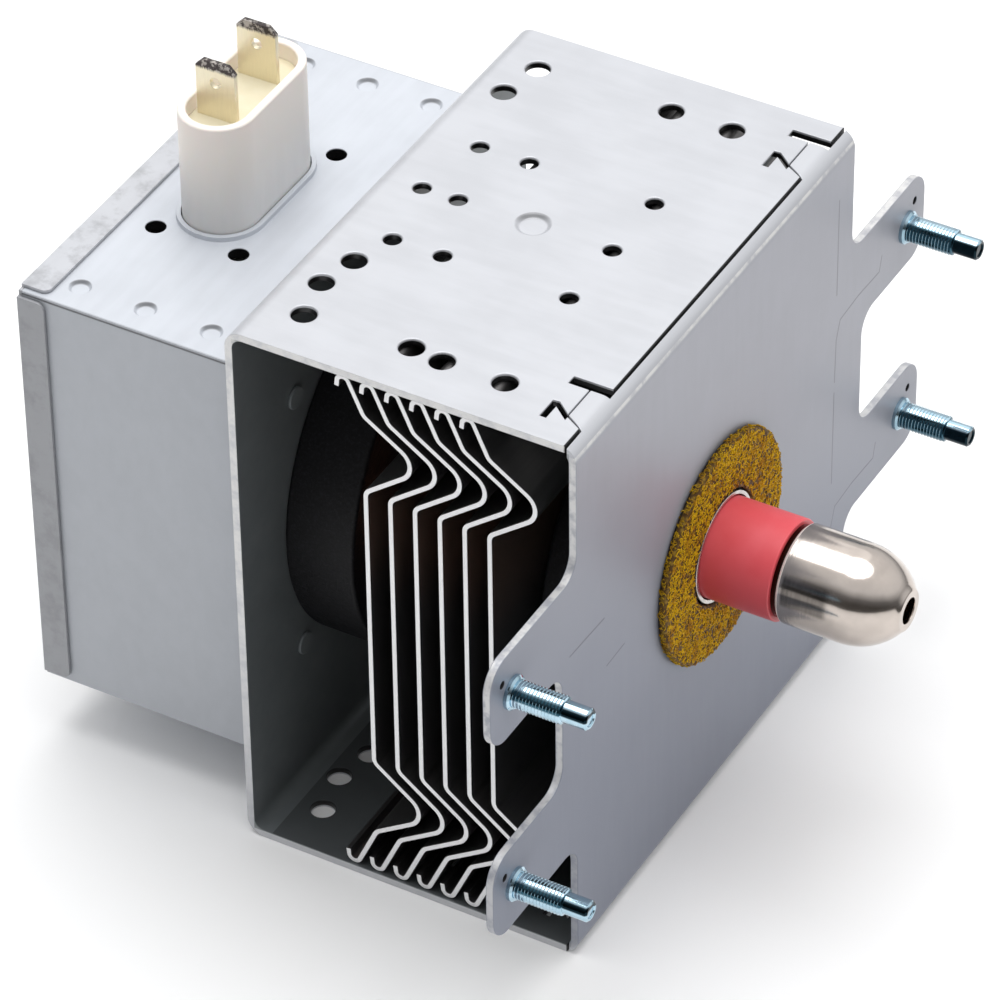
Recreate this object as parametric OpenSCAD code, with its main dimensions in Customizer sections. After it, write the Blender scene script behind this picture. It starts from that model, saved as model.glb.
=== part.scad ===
// Magnetron of the kind that feeds a waveguide: an air-cooled vacuum tube between two ring
// magnets in a folded steel yoke, with its antenna at the front and a filter box at the back.
// +X runs out along the antenna, +Z is up, and the origin lies on the antenna's axis at the
// outer face of the front plate. Sizes are in millimetres.

/* [Yoke] */
// Length of the yoke along the antenna's axis
yoke_len = 53.5; // [52:0.5:62]
// Width of the yoke, across the cooling air's way
yoke_w = 80; // [76:1:96]
// Height of the yoke
yoke_h = 90; // [87:1:100]
// Thickness of the yoke's steel sheet
sheet = 1.2; // [0.8:0.1:1.5]
// Outside radius of the yoke's bends
bend_r = 2.8; // [2.2:0.1:4]
// How far the front plate's turned edge reaches behind its outer face
seam_depth = 1.5; // [1.2:0.1:2]
// Gap between the turned edge and the rear yoke
seam_gap = 0.25; // [0.1:0.05:0.5]

/* [Front plate] */
// Distance between the outer ends of the ears
ear_span = 126.5; // [124:0.5:140]
// Height of one ear
ear_h = 14; // [12:0.5:18]
// Corner radius of the ears
ear_r = 4; // [2:0.5:5.5]
// Fillet where an ear leaves the plate
ear_fillet = 3.5; // [2:0.5:5]
// Extra plate on each side between the two ears
waist = 4; // [1:0.1:5]
// Clearance round the tube's sleeve in the plates
sleeve_gap = 0.6; // [0.2:0.1:1.2]

/* [Studs] */
// Distance of a stud from the outer end of its ear
stud_end = 5.75; // [5.5:0.05:8]
// Distance between the upper and lower studs
stud_pitch_z = 34; // [32:1:44]
// Thread diameter of a stud
stud_d = 4; // [3:0.5:5]
// Diameter of the collar at the foot of a stud
stud_collar_d = 5; // [5:0.1:8]
// Height of the collar
stud_collar_h = 0.8; // [0.4:0.1:2]
// Height of the threaded length's end above the plate
stud_thread_end = 8; // [6:0.1:12]
// Length of the plain point beyond the thread
stud_point_len = 3.7; // [1:0.1:5]
// Diameter of the plain point
stud_point_d = 3.1; // [2:0.1:3.4]
// Diameter of the pressed shank in the plate
stud_shank_d = 4.8; // [4.4:0.1:5.4]
// Diameter of the flat head behind the plate
stud_head_d = 6.8; // [6:0.1:8]
// Thickness of the flat head
stud_head_h = 0.9; // [0.5:0.1:1.5]

/* [Clinched corners] */
// Distance from the near edge of the yoke to the first slot
clinch_edge = 12.7; // [12:0.1:16]
// Distance from the first slot to the second
clinch_pitch = 62.7; // [55:0.1:62.7]
// Width of the slot beside a clinched tab
clinch_slot_w = 1.6; // [1:0.1:2.2]
// Reach of the slot behind the front plate's face
clinch_slot_reach = 7.8; // [7:0.1:10]
// Reach of the tab behind the front plate's face
clinch_tab_reach = 4.4; // [4:0.1:5.4]
// Width of the tab at its end
clinch_tab_end = 6; // [5:0.1:6.4]
// Width of the tab at its root
clinch_tab_root = 7.8; // [7.4:0.1:9]
// Slit between the tab and the plate round it
clinch_slit = 0.2; // [0.1:0.05:0.3]
// Width of the bent relief cut
clinch_relief_w = 1; // [0.6:0.1:1.3]

/* [Plate holes] */
// Diameter of the large plate holes
hole_large_d = 3.6; // [2.6:0.1:4.2]
// Diameter of the small plate holes
hole_small_d = 2.6; // [1.6:0.1:3]
// Diameter of the shallow dimple in the middle
dimple_d = 5.3; // [3:0.1:7]
// Depth of the dimple
dimple_depth = 0.4; // [0.2:0.1:0.6]
// Diameter of the pip hole in each ear
pip_d = 1.2; // [0.8:0.1:1.6]
// Distance of the pip hole from the ear's end
pip_end = 3.2; // [1.5:0.1:4]
// Distance of the pip hole above the stud
pip_rise = 3; // [2.4:0.1:3.4]

/* [Magnets] */
// Outside diameter of a ring magnet
magnet_d = 58; // [48:1:60]
// Bore of a ring magnet
magnet_bore = 21; // [19:0.5:26]
// Thickness of a ring magnet
magnet_t = 11; // [9:0.5:12]

/* [Tube] */
// Outside diameter of the anode shell
anode_d = 40; // [36:0.5:41]
// Wall of the anode shell
anode_wall = 2.8; // [2:0.1:3.5]
// Number of anode vanes
vane_count = 10; // [8:2:12]
// Thickness of a vane
vane_t = 1.9; // [1.2:0.1:2]
// Distance from the vanes to a pole piece's floor
vane_gap = 2.2; // [1.6:0.1:2.8]
// Diameter of the space inside the vanes' tips
vane_tip_d = 9.2; // [8.4:0.1:11]
// Radius of the inner strap ring's middle
strap_r = 6.2; // [6:0.1:6.6]
// Distance from the inner strap ring to the outer one
strap_step = 1.7; // [1.4:0.1:2]
// Thickness of a strap ring
strap_t = 0.8; // [0.5:0.1:1]
// Height of a strap ring
strap_h = 1.5; // [1:0.1:2]
// Clearance beside a strap ring in its groove
strap_gap = 0.2; // [0.1:0.05:0.3]
// Thickness of a pole piece
pole_t = 1.6; // [1.2:0.1:2.4]
// Depth of a pole piece's dish
pole_depth = 7; // [5:0.1:7.4]
// Bore of a pole piece
pole_bore = 9.4; // [8.6:0.1:11]
// Diameter of the flat floor of a pole piece
pole_floor_d = 26; // [25:0.5:27]
// Thickness of a seal cup's flange
seal_t = 0.6; // [0.4:0.1:1]
// Diameter of a seal cup's flange
seal_d = 38.4; // [34:0.2:39]
// Wall of a seal cup's sleeve
sleeve_wall = 0.6; // [0.4:0.1:0.8]
// Clearance between a sleeve and its ceramic
braze_gap = 0.2; // [0.1:0.05:0.4]
// Depth of the ceramic's seat in the sleeve
seat_depth = 1.8; // [1:0.1:3]
// Width of the seat's ledge
seat_ledge = 1.6; // [1:0.1:2]
// Height of the front sleeve above the front plate
sleeve_rise = 1.2; // [0.8:0.1:3]
// Length of the rear sleeve inside the filter box
sleeve_drop = 5.3; // [3:0.1:8]

/* [Cathode] */
// Diameter of the filament's turns, to the wire's middle
filament_d = 3.4; // [2.8:0.1:4]
// Diameter of the filament wire
filament_wire = 0.5; // [0.3:0.05:0.6]
// Number of turns of the filament
filament_turns = 8; // [6:1:10]
// Diameter of the end hats
hat_d = 7.2; // [6.8:0.1:7.6]
// Thickness of an end hat
hat_t = 0.9; // [0.6:0.1:1.2]
// Diameter of a cathode lead
lead_d = 1.4; // [1:0.1:1.5]
// Distance between the two cathode leads
lead_pitch = 2.5; // [2.3:0.1:2.6]

/* [Antenna] */
// Diameter of the antenna ceramic and of the stem ceramic
ceramic_d = 15; // [14.8:0.1:16.6]
// Wall of the antenna ceramic
ceramic_wall = 2; // [1.5:0.1:2.5]
// Length of the antenna ceramic
antenna_ceramic_len = 12.4; // [9:0.1:16]
// Length of the stem ceramic
stem_ceramic_len = 9; // [6:0.1:9.8]
// Diameter of the antenna cap
cap_d = 14.6; // [13:0.1:15]
// Length of the cap's straight wall
cap_straight = 9.8; // [8:0.1:14]
// Radius of the cap's rounded shoulder in section
cap_shoulder_r = 9.4; // [8.6:0.1:14]
// Diameter of the cap's nose
cap_nose_d = 7; // [6:0.1:9]
// Diameter of the hole in the nose
cap_hole_d = 3.9; // [2:0.1:4.6]
// Wall of the cap
cap_wall = 0.5; // [0.3:0.05:0.7]
// Depth of the groove round the cap's foot
cap_neck = 0.5; // [0.3:0.1:0.8]
// Height of the groove round the cap's foot
cap_neck_h = 0.8; // [0.4:0.1:1.5]
// Bevel above the groove
cap_bevel = 0.4; // [0.2:0.1:0.8]
// Diameter of the exhaust tube
exhaust_d = 6; // [5:0.1:7]
// Wall of the exhaust tube
exhaust_wall = 0.8; // [0.5:0.1:1]
// Length of the exhaust tube's round part
exhaust_len = 7.5; // [6:0.1:8]
// Length of the pinched end of the exhaust tube
pinch_len = 4; // [3:0.1:4.5]
// Thickness of the pinched end
pinch_t = 1; // [0.8:0.1:1.4]
// Diameter of the antenna lead
antenna_lead_d = 2.4; // [1.6:0.1:2.6]
// Distance of the antenna lead's foot from the axis
antenna_lead_r = 10.3; // [10.2:0.1:10.4]

/* [Gasket] */
// Outside diameter of the knitted gasket
gasket_d = 34.8; // [28:0.2:40]
// Thickness of the gasket
gasket_t = 1.2; // [1:0.1:2]
// Clearance between the gasket and the sleeve
gasket_gap = 0.3; // [0.1:0.1:0.6]
// Rounding of the gasket's edges
gasket_round = 0.4; // [0.2:0.05:0.5]

/* [Cooling fins] */
// Number of fins
fin_count = 6; // [4:1:6]
// Distance from fin to fin
fin_pitch = 3.8; // [3.4:0.1:4]
// Thickness of a fin
fin_t = 0.7; // [0.5:0.1:0.8]
// Distance of the fins' ends inside the yoke's sides
fin_inset = 0.5; // [0.2:0.1:3]
// Distance of the first fin's face from the anode's front end
fin_start = 0.35; // [0.2:0.05:1]
// Angle at which a fin leaves the upright
fin_out = 52; // [48:1:54]
// Angle at which it turns back
fin_back = 56; // [52:1:58]
// Angle of its outer end
fin_end = 24; // [20:1:28]
// Length of the slope out
fin_slope_out = 6.7; // [6:0.1:7]
// Length of the slope back
fin_slope_back = 6.3; // [6:0.1:6.6]
// Distance of the first bend inside the magnets' rim
fin_fold_in = 6.4; // [5:0.1:7]
// Extra height of the fins' upper folds
fin_lift = 1.5; // [0:0.1:2]
// Radius of the first bend, to the sheet's middle
fin_root_r = 1.6; // [1.2:0.1:2]
// Radius of the outward fold
fin_fold_r = 2.8; // [2.4:0.1:3]
// Radius of the bend into the outer end
fin_knee_r = 2; // [1.6:0.1:2.4]
// Radius of the curled edge
fin_curl_r = 0.9; // [0.7:0.1:1.1]
// Angle of the curled edge
fin_curl = 150; // [120:5:160]
// Length of the curled edge's end
fin_curl_end = 1; // [0.5:0.1:1.5]
// Clearance between the curled edges and the yoke
fin_seat_gap = 0.1; // [0.05:0.05:0.3]
// Length of the collar round the anode shell
fin_collar = 1.8; // [1:0.1:2.2]
// Clearance between the fins and the front magnet
fin_magnet_gap = 0.6; // [0.3:0.1:1]

/* [Filter box] */
// Width of the filter box
box_w = 69; // [66:1:76]
// Height of the filter box
box_h = 69; // [66:1:76]
// Depth of the filter box behind the yoke
box_depth = 36.6; // [36:0.2:48]
// Thickness of the box's sheet
box_sheet = 0.7; // [0.5:0.1:1]
// Thickness of the lid's sheet
lid_sheet = 0.5; // [0.4:0.1:0.8]
// Length of the lid's folded flanges
lid_flange = 4.3; // [3:0.1:6]
// Distance of the flanges' ends from the box's corners
lid_relief = 0.8; // [0.4:0.1:2]
// Rounding of the flanges' corners
lid_round = 1.2; // [0.6:0.1:2]
// Clearance between the lid's flanges and the box
lid_gap = 0.1; // [0.05:0.05:0.2]
// Distance between the rivets across the back plate
rivet_pitch_y = 50; // [50:1:54]
// Distance between the rivets up the back plate
rivet_pitch_z = 44; // [44:1:50]
// Height of the rivets' middle above the axis
rivet_lift = 1.5; // [0:0.1:2]
// Clearance that the rivets' heads keep from the rear magnet
rivet_magnet_gap = 0.6; // [0.3:0.1:1.5]
// Diameter of a rivet's shank
rivet_d = 2.2; // [1.6:0.1:2.6]
// Diameter of a rivet's heads
rivet_head_d = 3.4; // [3:0.1:4]
// Thickness of a rivet's heads
rivet_head_h = 0.5; // [0.4:0.1:1]
// Diameter of the eyelet holes beside the connector
eyelet_d = 3; // [2:0.1:3.6]
// Distance between the eyelet holes across the box
eyelet_pitch_y = 26.5; // [26.2:0.1:28]
// Distance between the eyelet holes along the box
eyelet_pitch_x = 13.4; // [13:0.1:14]
// Diameter of the dents along the sides of the box's top
dent_d = 3.4; // [2:0.1:4]
// Depth of a dent
dent_depth = 0.35; // [0.2:0.05:0.4]
// Distance of the dents from the side of the box
dent_edge = 4.6; // [4:0.1:6]
// Distance from dent to dent
dent_pitch = 10.5; // [8:0.1:11]
// Distance of the first dent from the yoke
dent_start = 8.5; // [6:0.1:10]

/* [Connector] */
// Distance of the connector's middle behind the back plate
tower_back = 21; // [20:0.1:22]
// Half the distance between the middles of the connector's round ends
tower_half = 6.3; // [6.1:0.1:7]
// Radius of the connector's round ends
tower_r = 5.7; // [5.5:0.1:6]
// Height of the connector above the box
tower_h = 18.4; // [14:0.1:24]
// Wall of the connector
tower_wall = 1.3; // [1:0.1:1.5]
// Depth of the potting below the rim
potting_depth = 2.6; // [1:0.1:5]
// Height of the drawn rim round the connector
rim_h = 0.8; // [0.4:0.1:1.5]
// Thickness of the drawn rim
rim_t = 0.7; // [0.5:0.1:0.9]
// Clearance between the rim and the connector
rim_gap = 0.15; // [0.05:0.05:0.3]
// Distance between the two blade terminals
tab_pitch = 10.8; // [9:0.1:11.4]
// Width of a blade terminal
tab_w = 6.3; // [4.8:0.1:6.4]
// Distance of the blades behind the connector's middle
tab_back = 0.6; // [0:0.1:0.8]
// Thickness of a blade terminal
tab_t = 0.8; // [0.5:0.1:1]
// Height of the blades above the connector's rim
tab_rise = 6.6; // [4.5:0.1:9]
// Diameter of the hole in a blade
tab_hole_d = 1.7; // [1:0.1:2]
// Distance of that hole from the blade's end
tab_hole_drop = 3.4; // [3:0.1:3.8]
// Length of the bevel at a blade's end
tab_bevel = 1.1; // [0.6:0.1:1.4]

/* [Feed-through capacitor] */
// Thickness of the ground plate
ground_t = 1; // [0.6:0.1:1.5]
// Length of the ground plate along the box
ground_len = 19; // [18.4:0.1:20]
// Width of the ground plate across the box
ground_w = 38; // [34:0.5:44]
// Diameter of the capacitor's conductors
conductor_d = 3.2; // [2.4:0.1:3.6]
// Height of the capacitor's ceramic
capacitor_h = 8; // [6:0.5:9]
// Length of the conductors below the ceramic
conductor_tail = 2.4; // [1:0.1:4]

/* [Chokes] */
// Diameter of a choke's ferrite core
core_d = 4.8; // [4:0.1:5]
// Length of a choke's core
core_len = 17; // [12:0.5:18]
// Diameter of the choke wire
choke_wire = 1.4; // [1:0.1:1.5]
// Clearance between a core and its winding
core_gap = 0.2; // [0.1:0.05:0.3]
// Whole turns of a choke's winding
choke_turns = 7; // [5:1:8]
// Height of a lead strip
strip_h = 2; // [1.6:0.1:2.4]

/* [Hidden] */
$fn = 96;
eps = 0.01;
helix_segments = 18;
bend_facet = 9;
lead_turn = 45;
lead_knuckle = 1.1;
helix_sides = 8;
shoulder_steps = 12;

// Colours
steel = [0.78, 0.80, 0.83];
plate_grey = [0.62, 0.63, 0.66];
zinc = [0.72, 0.76, 0.82];
ferrite = [0.10, 0.10, 0.11];
aluminium = [0.80, 0.81, 0.82];
copper = [0.72, 0.45, 0.32];
iron = [0.45, 0.45, 0.47];
seal_metal = [0.66, 0.65, 0.63];
pink_ceramic = [0.80, 0.30, 0.33];
stainless = [0.74, 0.72, 0.69];
gold_mesh = [0.66, 0.57, 0.32];
cream = [0.92, 0.90, 0.84];
tin = [0.86, 0.84, 0.78];
tungsten = [0.30, 0.30, 0.32];
enamel = [0.62, 0.30, 0.12];
resin = [0.88, 0.85, 0.74];

// Planes along the axis
plate_back = -sheet;
front_magnet_back = plate_back - magnet_t;
anode_front = front_magnet_back - seal_t;
back_inner = -yoke_len + sheet;
rear_magnet_front = back_inner + magnet_t;
anode_back = rear_magnet_front + seal_t;
anode_mid = (anode_front + anode_back) / 2;
vane_h = anode_front - anode_back - 2 * (pole_depth + vane_gap);
vane_front = anode_mid + vane_h / 2;
vane_back = anode_mid - vane_h / 2;
box_floor = -yoke_len - box_sheet;
lid_back = -yoke_len - box_depth;
box_end = lid_back + lid_sheet;

// Heights and widths
inner_half = yoke_h / 2 - sheet;
yoke_edge = -seam_depth - seam_gap;
ear_y = ear_span / 2;
stud_pitch_y = ear_span - 2 * stud_end;
ear_z = stud_pitch_z / 2;
waist_y = yoke_w / 2 + waist;
anode_r = anode_d / 2;
anode_in = anode_r - anode_wall;
sleeve_in = ceramic_d / 2 + braze_gap;
sleeve_out = sleeve_in + sleeve_wall;
sleeve_hole = sleeve_out + sleeve_gap;
ceramic_front_start = sleeve_rise - seat_depth;
ceramic_front_end = ceramic_front_start + antenna_ceramic_len;
stem_start = -yoke_len - sleeve_drop + seat_depth;
stem_end = stem_start - stem_ceramic_len;
clinch_slots = [-yoke_w / 2 + clinch_edge, -yoke_w / 2 + clinch_edge + clinch_pitch];

// Plate holes, as distances from the back face and from the side edge or the middle line
edge_holes = [[7.7, 8], [6.2, 15.1], [28.9, 8], [38.4, 8]];
near_holes = [[23.9, 8.6], [7.6, 21.4]];
inner_holes = [[9.7, 12], [17.5, 12], [37, 12]];
middle_holes = [7.4, 13.1, 37];
dimple_back = 24.8;

// Rivets, moved apart where the rear magnet needs the room
rivet_reach = magnet_d / 2 + rivet_magnet_gap + rivet_head_d / 2;
rivet_low = max(rivet_pitch_z / 2 - rivet_lift, sqrt(max(0, pow(rivet_reach, 2) - pow(rivet_pitch_y / 2, 2))));
rivet_span_z = 2 * (rivet_low + rivet_lift);

// Cap
cap_r = cap_d / 2;
cap_turn = acos((cap_nose_d / 2 - cap_r + cap_shoulder_r) / cap_shoulder_r);
cap_neck_in = cap_r - cap_neck - cap_wall;
cap_lip = 0.5;

// Fin steps from its middle: [straight run, turn towards +X, bend radius to the sheet's middle]
fin_flat = magnet_d / 2 - fin_fold_in;
fin_rise = fin_root_r * sin(fin_out) + fin_slope_out * cos(fin_out)
    + fin_fold_r * (sin(fin_out) + sin(fin_back)) + fin_slope_back * cos(fin_back)
    + fin_knee_r * (sin(fin_back) - sin(fin_end))
    + fin_curl_r * (1 - sin(fin_end)) + fin_t / 2;
function fin_steps(flat) = [
    [flat, fin_out, fin_root_r],
    [fin_slope_out, -fin_out - fin_back, fin_fold_r],
    [fin_slope_back, fin_back - fin_end, fin_knee_r],
    [(inner_half - fin_seat_gap - flat - fin_rise) / cos(fin_end), -fin_curl, fin_curl_r],
    [fin_curl_end, 0, 0],
];

// Connector, capacitor and chokes
tower_x = -yoke_len - tower_back;
tab_x = tower_x - tab_back;
box_top = box_h / 2;
box_ceiling = box_top - box_sheet;
rim_top = box_top + tower_h;
ground_bottom = box_ceiling - ground_t;
capacitor_bottom = ground_bottom - capacitor_h;
conductor_bottom = capacitor_bottom - conductor_tail;
choke_r = core_d / 2 + core_gap + choke_wire / 2;
choke_y = tab_pitch / 2 + choke_r;
choke_part_turn = 0.25;
strip_top = strip_h / 2;
strip_t = 2 * choke_wire;
lead_end = tab_x + choke_r + strip_t / 2;
strip_back = lead_end - strip_t;
strip_outer = choke_y + choke_wire;
choke_low = strip_top + 2 * choke_wire;
choke_high = conductor_bottom - choke_wire;
choke_rise = choke_high - choke_low;

// Shared shapes

// Solid cylinder along X from x0 to x1
module rod_x(r, x0, x1) {
    translate([x0, 0, 0])
        rotate([0, 90, 0])
            cylinder(r = r, h = x1 - x0);
}

// Tube along X from x0 to x1
module tube_x(outer, inner, x0, x1) {
    difference() {
        rod_x(outer, x0, x1);
        rod_x(inner, x0 - eps, x1 + eps);
    }
}

// Turns a section drawn as (radius, x) about the X axis
module spin_x() {
    rotate([90, 0, 90])
        rotate_extrude()
            children();
}

// Extrudes a profile drawn in X and Z, centred on Y
module along_y(width) {
    rotate([90, 0, 0])
        linear_extrude(width, center = true)
            children();
}

// Extrudes an outline drawn in Y and Z from x0 to x1
module along_x(x0, x1) {
    translate([x0, 0, 0])
        rotate([90, 0, 90])
            linear_extrude(x1 - x0)
                children();
}

// Rectangle from x0 to x1, centred in its height, with both corners at x0 rounded
module round_left(x0, x1, h, r) {
    translate([x0 + r, -h / 2])
        square([x1 - x0 - r, h]);
    translate([x0, r - h / 2])
        square([2 * r, h - 2 * r]);
    for (side = [-1, 1])
        translate([x0 + r, side * (h / 2 - r)])
            circle(r);
}

// Slot outline with round ends, long along Y
module stadium(half, r) {
    square([2 * r, 2 * half], center = true);
    for (side = [-1, 1])
        translate([0, side * half])
            circle(r);
}

// Stations along the middle of a bent sheet's section: [x, z, heading from +Z towards +X]
function stations(steps, i = 0, x = 0, z = 0, heading = 0) =
    i == len(steps) ? [[x, z, heading]] :
    let (run = steps[i][0], turn = steps[i][1], r = sign(turn) * steps[i][2],
        centre_x = x + run * sin(heading) + r * cos(heading),
        centre_z = z + run * cos(heading) - r * sin(heading),
        parts = max(1, ceil(abs(turn) / bend_facet)), after = heading + turn)
    concat([[x, z, heading]],
        [for (k = [0:parts - 1]) let (a = heading + turn * k / parts)
            [centre_x - r * cos(a), centre_z + r * sin(a), a]],
        stations(steps, i + 1, centre_x - r * cos(after), centre_z + r * sin(after), after));

// One face of the sheet, at an offset to the right of its middle
function sheet_face(points, offset) =
    [for (p = points) [p[0] + offset * cos(p[2]), p[1] - offset * sin(p[2])]];

function backwards(points) = [for (k = [len(points) - 1:-1:0]) points[k]];

// The same points below the middle, without the first
function below(points) = [for (k = [1:len(points) - 1]) [points[k][0], -points[k][1]]];

// Section of a sheet from one set of steps above its middle and another below
module bent_sheet(upper, lower, t) {
    up = stations(upper);
    down = stations(lower);
    polygon(concat(
        sheet_face(up, t / 2), backwards(sheet_face(up, -t / 2)),
        below(sheet_face(down, -t / 2)), backwards(below(sheet_face(down, t / 2)))));
}

// Round wire wound along Z as one closed surface
module helix(r, wire, rise, turns) {
    rings = round(turns * helix_segments);
    slope = atan(rise / (turns * 360 * PI / 180 * r));
    points = [for (k = [0:rings], s = [0:helix_sides - 1])
        let (a = 360 * turns * k / rings, b = 360 * s / helix_sides,
            out = r + wire / 2 * cos(b), along = wire / 2 * sin(b))
        [out * cos(a) + along * sin(slope) * sin(a),
            out * sin(a) - along * sin(slope) * cos(a),
            rise * k / rings + along * cos(slope)]];
    sides = [for (k = [0:rings - 1], s = [0:helix_sides - 1])
        let (n = (s + 1) % helix_sides)
        [k * helix_sides + s, k * helix_sides + n,
            (k + 1) * helix_sides + n, (k + 1) * helix_sides + s]];
    first = [for (s = [helix_sides - 1:-1:0]) s];
    last = [for (s = [0:helix_sides - 1]) rings * helix_sides + s];
    polyhedron(points, concat(sides, [first, last]));
}

// Repeats its children at the four corners of a rectangle in Y and Z
module four(pitch_y, pitch_z, lift = 0) {
    for (sy = [-1, 1], sz = [-1, 1])
        translate([0, sy * pitch_y / 2, sz * pitch_z / 2 + lift])
            children();
}

// Yoke

// Plan of one clinched tab, with room for its slit, seen from above with the slot at Y = 0
module clinch_tab_plan(room) {
    inner = -clinch_slot_w / 2;
    polygon([
        [0, inner],
        [-clinch_tab_reach - room, inner],
        [-clinch_tab_reach - room, inner - clinch_tab_end - room],
        [-seam_depth, inner - clinch_tab_root - room],
        [0, inner - clinch_tab_root - room],
    ]);
}

// Plan of the cuts beside one clinched tab
module clinch_cut_plan() {
    inner = -clinch_slot_w / 2;
    bent = inner - clinch_tab_end;
    heel = -clinch_slot_reach + clinch_relief_w;
    translate([-clinch_slot_reach, inner])
        square([clinch_slot_reach, clinch_slot_w]);
    clinch_tab_plan(clinch_slit);
    translate([-clinch_slot_reach, inner - clinch_tab_root])
        square([clinch_relief_w, clinch_tab_root - clinch_tab_end * 2 / 3]);
    polygon([
        [-clinch_slot_reach, inner - clinch_tab_end * 2 / 3],
        [heel, inner - clinch_tab_end * 2 / 3],
        [-clinch_tab_reach, bent],
        [-clinch_tab_reach, bent - clinch_relief_w],
        [heel, inner - clinch_tab_end * 2 / 3 - clinch_relief_w],
    ]);
}

// Plate holes as upright drills through the top and bottom plates
module plate_drills() {
    for (h = edge_holes, side = [-1, 1])
        translate([h[0] - yoke_len, side * (yoke_w / 2 - h[1]), -yoke_h])
            cylinder(d = hole_large_d, h = 2 * yoke_h);
    for (h = near_holes)
        translate([h[0] - yoke_len, h[1] - yoke_w / 2, -yoke_h])
            cylinder(d = hole_large_d, h = 2 * yoke_h);
    for (h = inner_holes, side = [-1, 1])
        translate([h[0] - yoke_len, side * h[1], -yoke_h])
            cylinder(d = hole_small_d, h = 2 * yoke_h);
    for (x = middle_holes)
        translate([x - yoke_len, 0, -yoke_h])
            cylinder(d = hole_small_d, h = 2 * yoke_h);
}

// Back, top and bottom plates folded from one sheet
module rear_yoke() {
    color(steel)
        difference() {
            along_y(yoke_w)
                difference() {
                    round_left(-yoke_len, yoke_edge, yoke_h, bend_r);
                    round_left(back_inner, 0, yoke_h - 2 * sheet, bend_r - sheet);
                }
            plate_drills();
            for (y = clinch_slots)
                translate([0, y, -yoke_h])
                    linear_extrude(2 * yoke_h)
                        clinch_cut_plan();
            for (side = [-1, 1])
                translate([dimple_back - yoke_len, 0, side * yoke_h / 2 - dimple_depth])
                    cylinder(d = dimple_d, h = 2 * dimple_depth);
            rod_x(sleeve_hole, -yoke_len - sheet, 0);
            four(rivet_pitch_y, rivet_span_z, rivet_lift)
                rod_x(rivet_d / 2, -yoke_len - sheet, back_inner + sheet);
        }
}

// Section of the front plate with its edges fully turned back by a given reach
module turned_plate(reach) {
    difference() {
        mirror([1, 0])
            round_left(0, reach, yoke_h, bend_r);
        mirror([1, 0])
            round_left(sheet, 2 * reach + sheet, yoke_h - 2 * sheet, bend_r - sheet);
    }
}

// Outline of the front plate with its four ears
module front_outline() {
    square([yoke_w, yoke_h], center = true);
    square([2 * waist_y, 2 * ear_z], center = true);
    for (sy = [0, 1], sz = [0, 1])
        mirror([sy, 0])
            mirror([0, sz])
                ear_outline();
}

// One ear with the fillets where it leaves the plate
module ear_outline() {
    top = ear_z + ear_h / 2;
    low = ear_z - ear_h / 2;
    translate([0, ear_z])
        mirror([1, 0])
            round_left(-ear_y, 0, ear_h, ear_r);
    difference() {
        translate([yoke_w / 2 - eps, top - eps])
            square(ear_fillet + eps);
        translate([yoke_w / 2 + ear_fillet, top + ear_fillet])
            circle(ear_fillet);
    }
    difference() {
        translate([waist_y - eps, low - ear_fillet])
            square(ear_fillet + eps);
        translate([waist_y + ear_fillet, low - ear_fillet])
            circle(ear_fillet);
    }
}

// Front plate with ears, turned edges and the tabs of the clinched corners
module front_plate() {
    color(plate_grey)
        difference() {
            union() {
                intersection() {
                    along_y(ear_span)
                        turned_plate(seam_depth + bend_r);
                    along_x(-seam_depth, 0)
                        front_outline();
                }
                intersection() {
                    along_y(yoke_w)
                        turned_plate(clinch_tab_reach + bend_r);
                    for (y = clinch_slots)
                        translate([0, y, -yoke_h])
                            linear_extrude(2 * yoke_h)
                                clinch_tab_plan(0);
                }
            }
            rod_x(sleeve_hole, -yoke_len, sheet);
            four(stud_pitch_y, stud_pitch_z)
                rod_x(stud_shank_d / 2, -2 * sheet, sheet);
            four(ear_span - 2 * pip_end, stud_pitch_z)
                translate([0, 0, pip_rise])
                    rod_x(pip_d / 2, -2 * sheet, sheet);
        }
}

// Studs

// Four studs pressed through the ears from behind
module mounting_studs() {
    color(zinc)
        four(stud_pitch_y, stud_pitch_z) {
            rod_x(stud_head_d / 2, -sheet - stud_head_h, -sheet);
            rod_x(stud_shank_d / 2, -sheet - eps, eps);
            rod_x(stud_collar_d / 2, 0, stud_collar_h);
            rod_x(stud_d / 2, stud_collar_h - eps, stud_thread_end);
            rod_x(stud_point_d / 2, stud_thread_end - eps, stud_thread_end + stud_point_len);
        }
}

// Magnets

module front_magnet() {
    color(ferrite)
        tube_x(magnet_d / 2, magnet_bore / 2, front_magnet_back, plate_back);
}

module rear_magnet() {
    color(ferrite)
        tube_x(magnet_d / 2, magnet_bore / 2, back_inner, rear_magnet_front);
}

// Cooling fins

// Fin number i from the back, pressed over the anode shell by its collar
module fin(i) {
    x = anode_front - fin_start - fin_t / 2 - (fin_count - i) * fin_pitch;
    color(aluminium)
        difference() {
            union() {
                translate([x, 0, 0])
                    along_y(yoke_w - 2 * fin_inset)
                        bent_sheet(fin_steps(fin_flat + fin_lift), fin_steps(fin_flat), fin_t);
                rod_x(anode_r + fin_t, x - fin_t / 2 - fin_collar, x);
            }
            rod_x(anode_r, x - 2 * fin_pitch, x + 2 * fin_pitch);
            rod_x(magnet_d / 2 + fin_magnet_gap, front_magnet_back - fin_magnet_gap, 0);
        }
}

module fin_1() { fin(1); }
module fin_2() { fin(2); }
module fin_3() { fin(3); }
module fin_4() { fin(4); }
module fin_5() { fin(5); }
module fin_6() { fin(6); }

// Anode

module anode_shell() {
    color(copper)
        tube_x(anode_r, anode_in, anode_back, anode_front);
}

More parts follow.
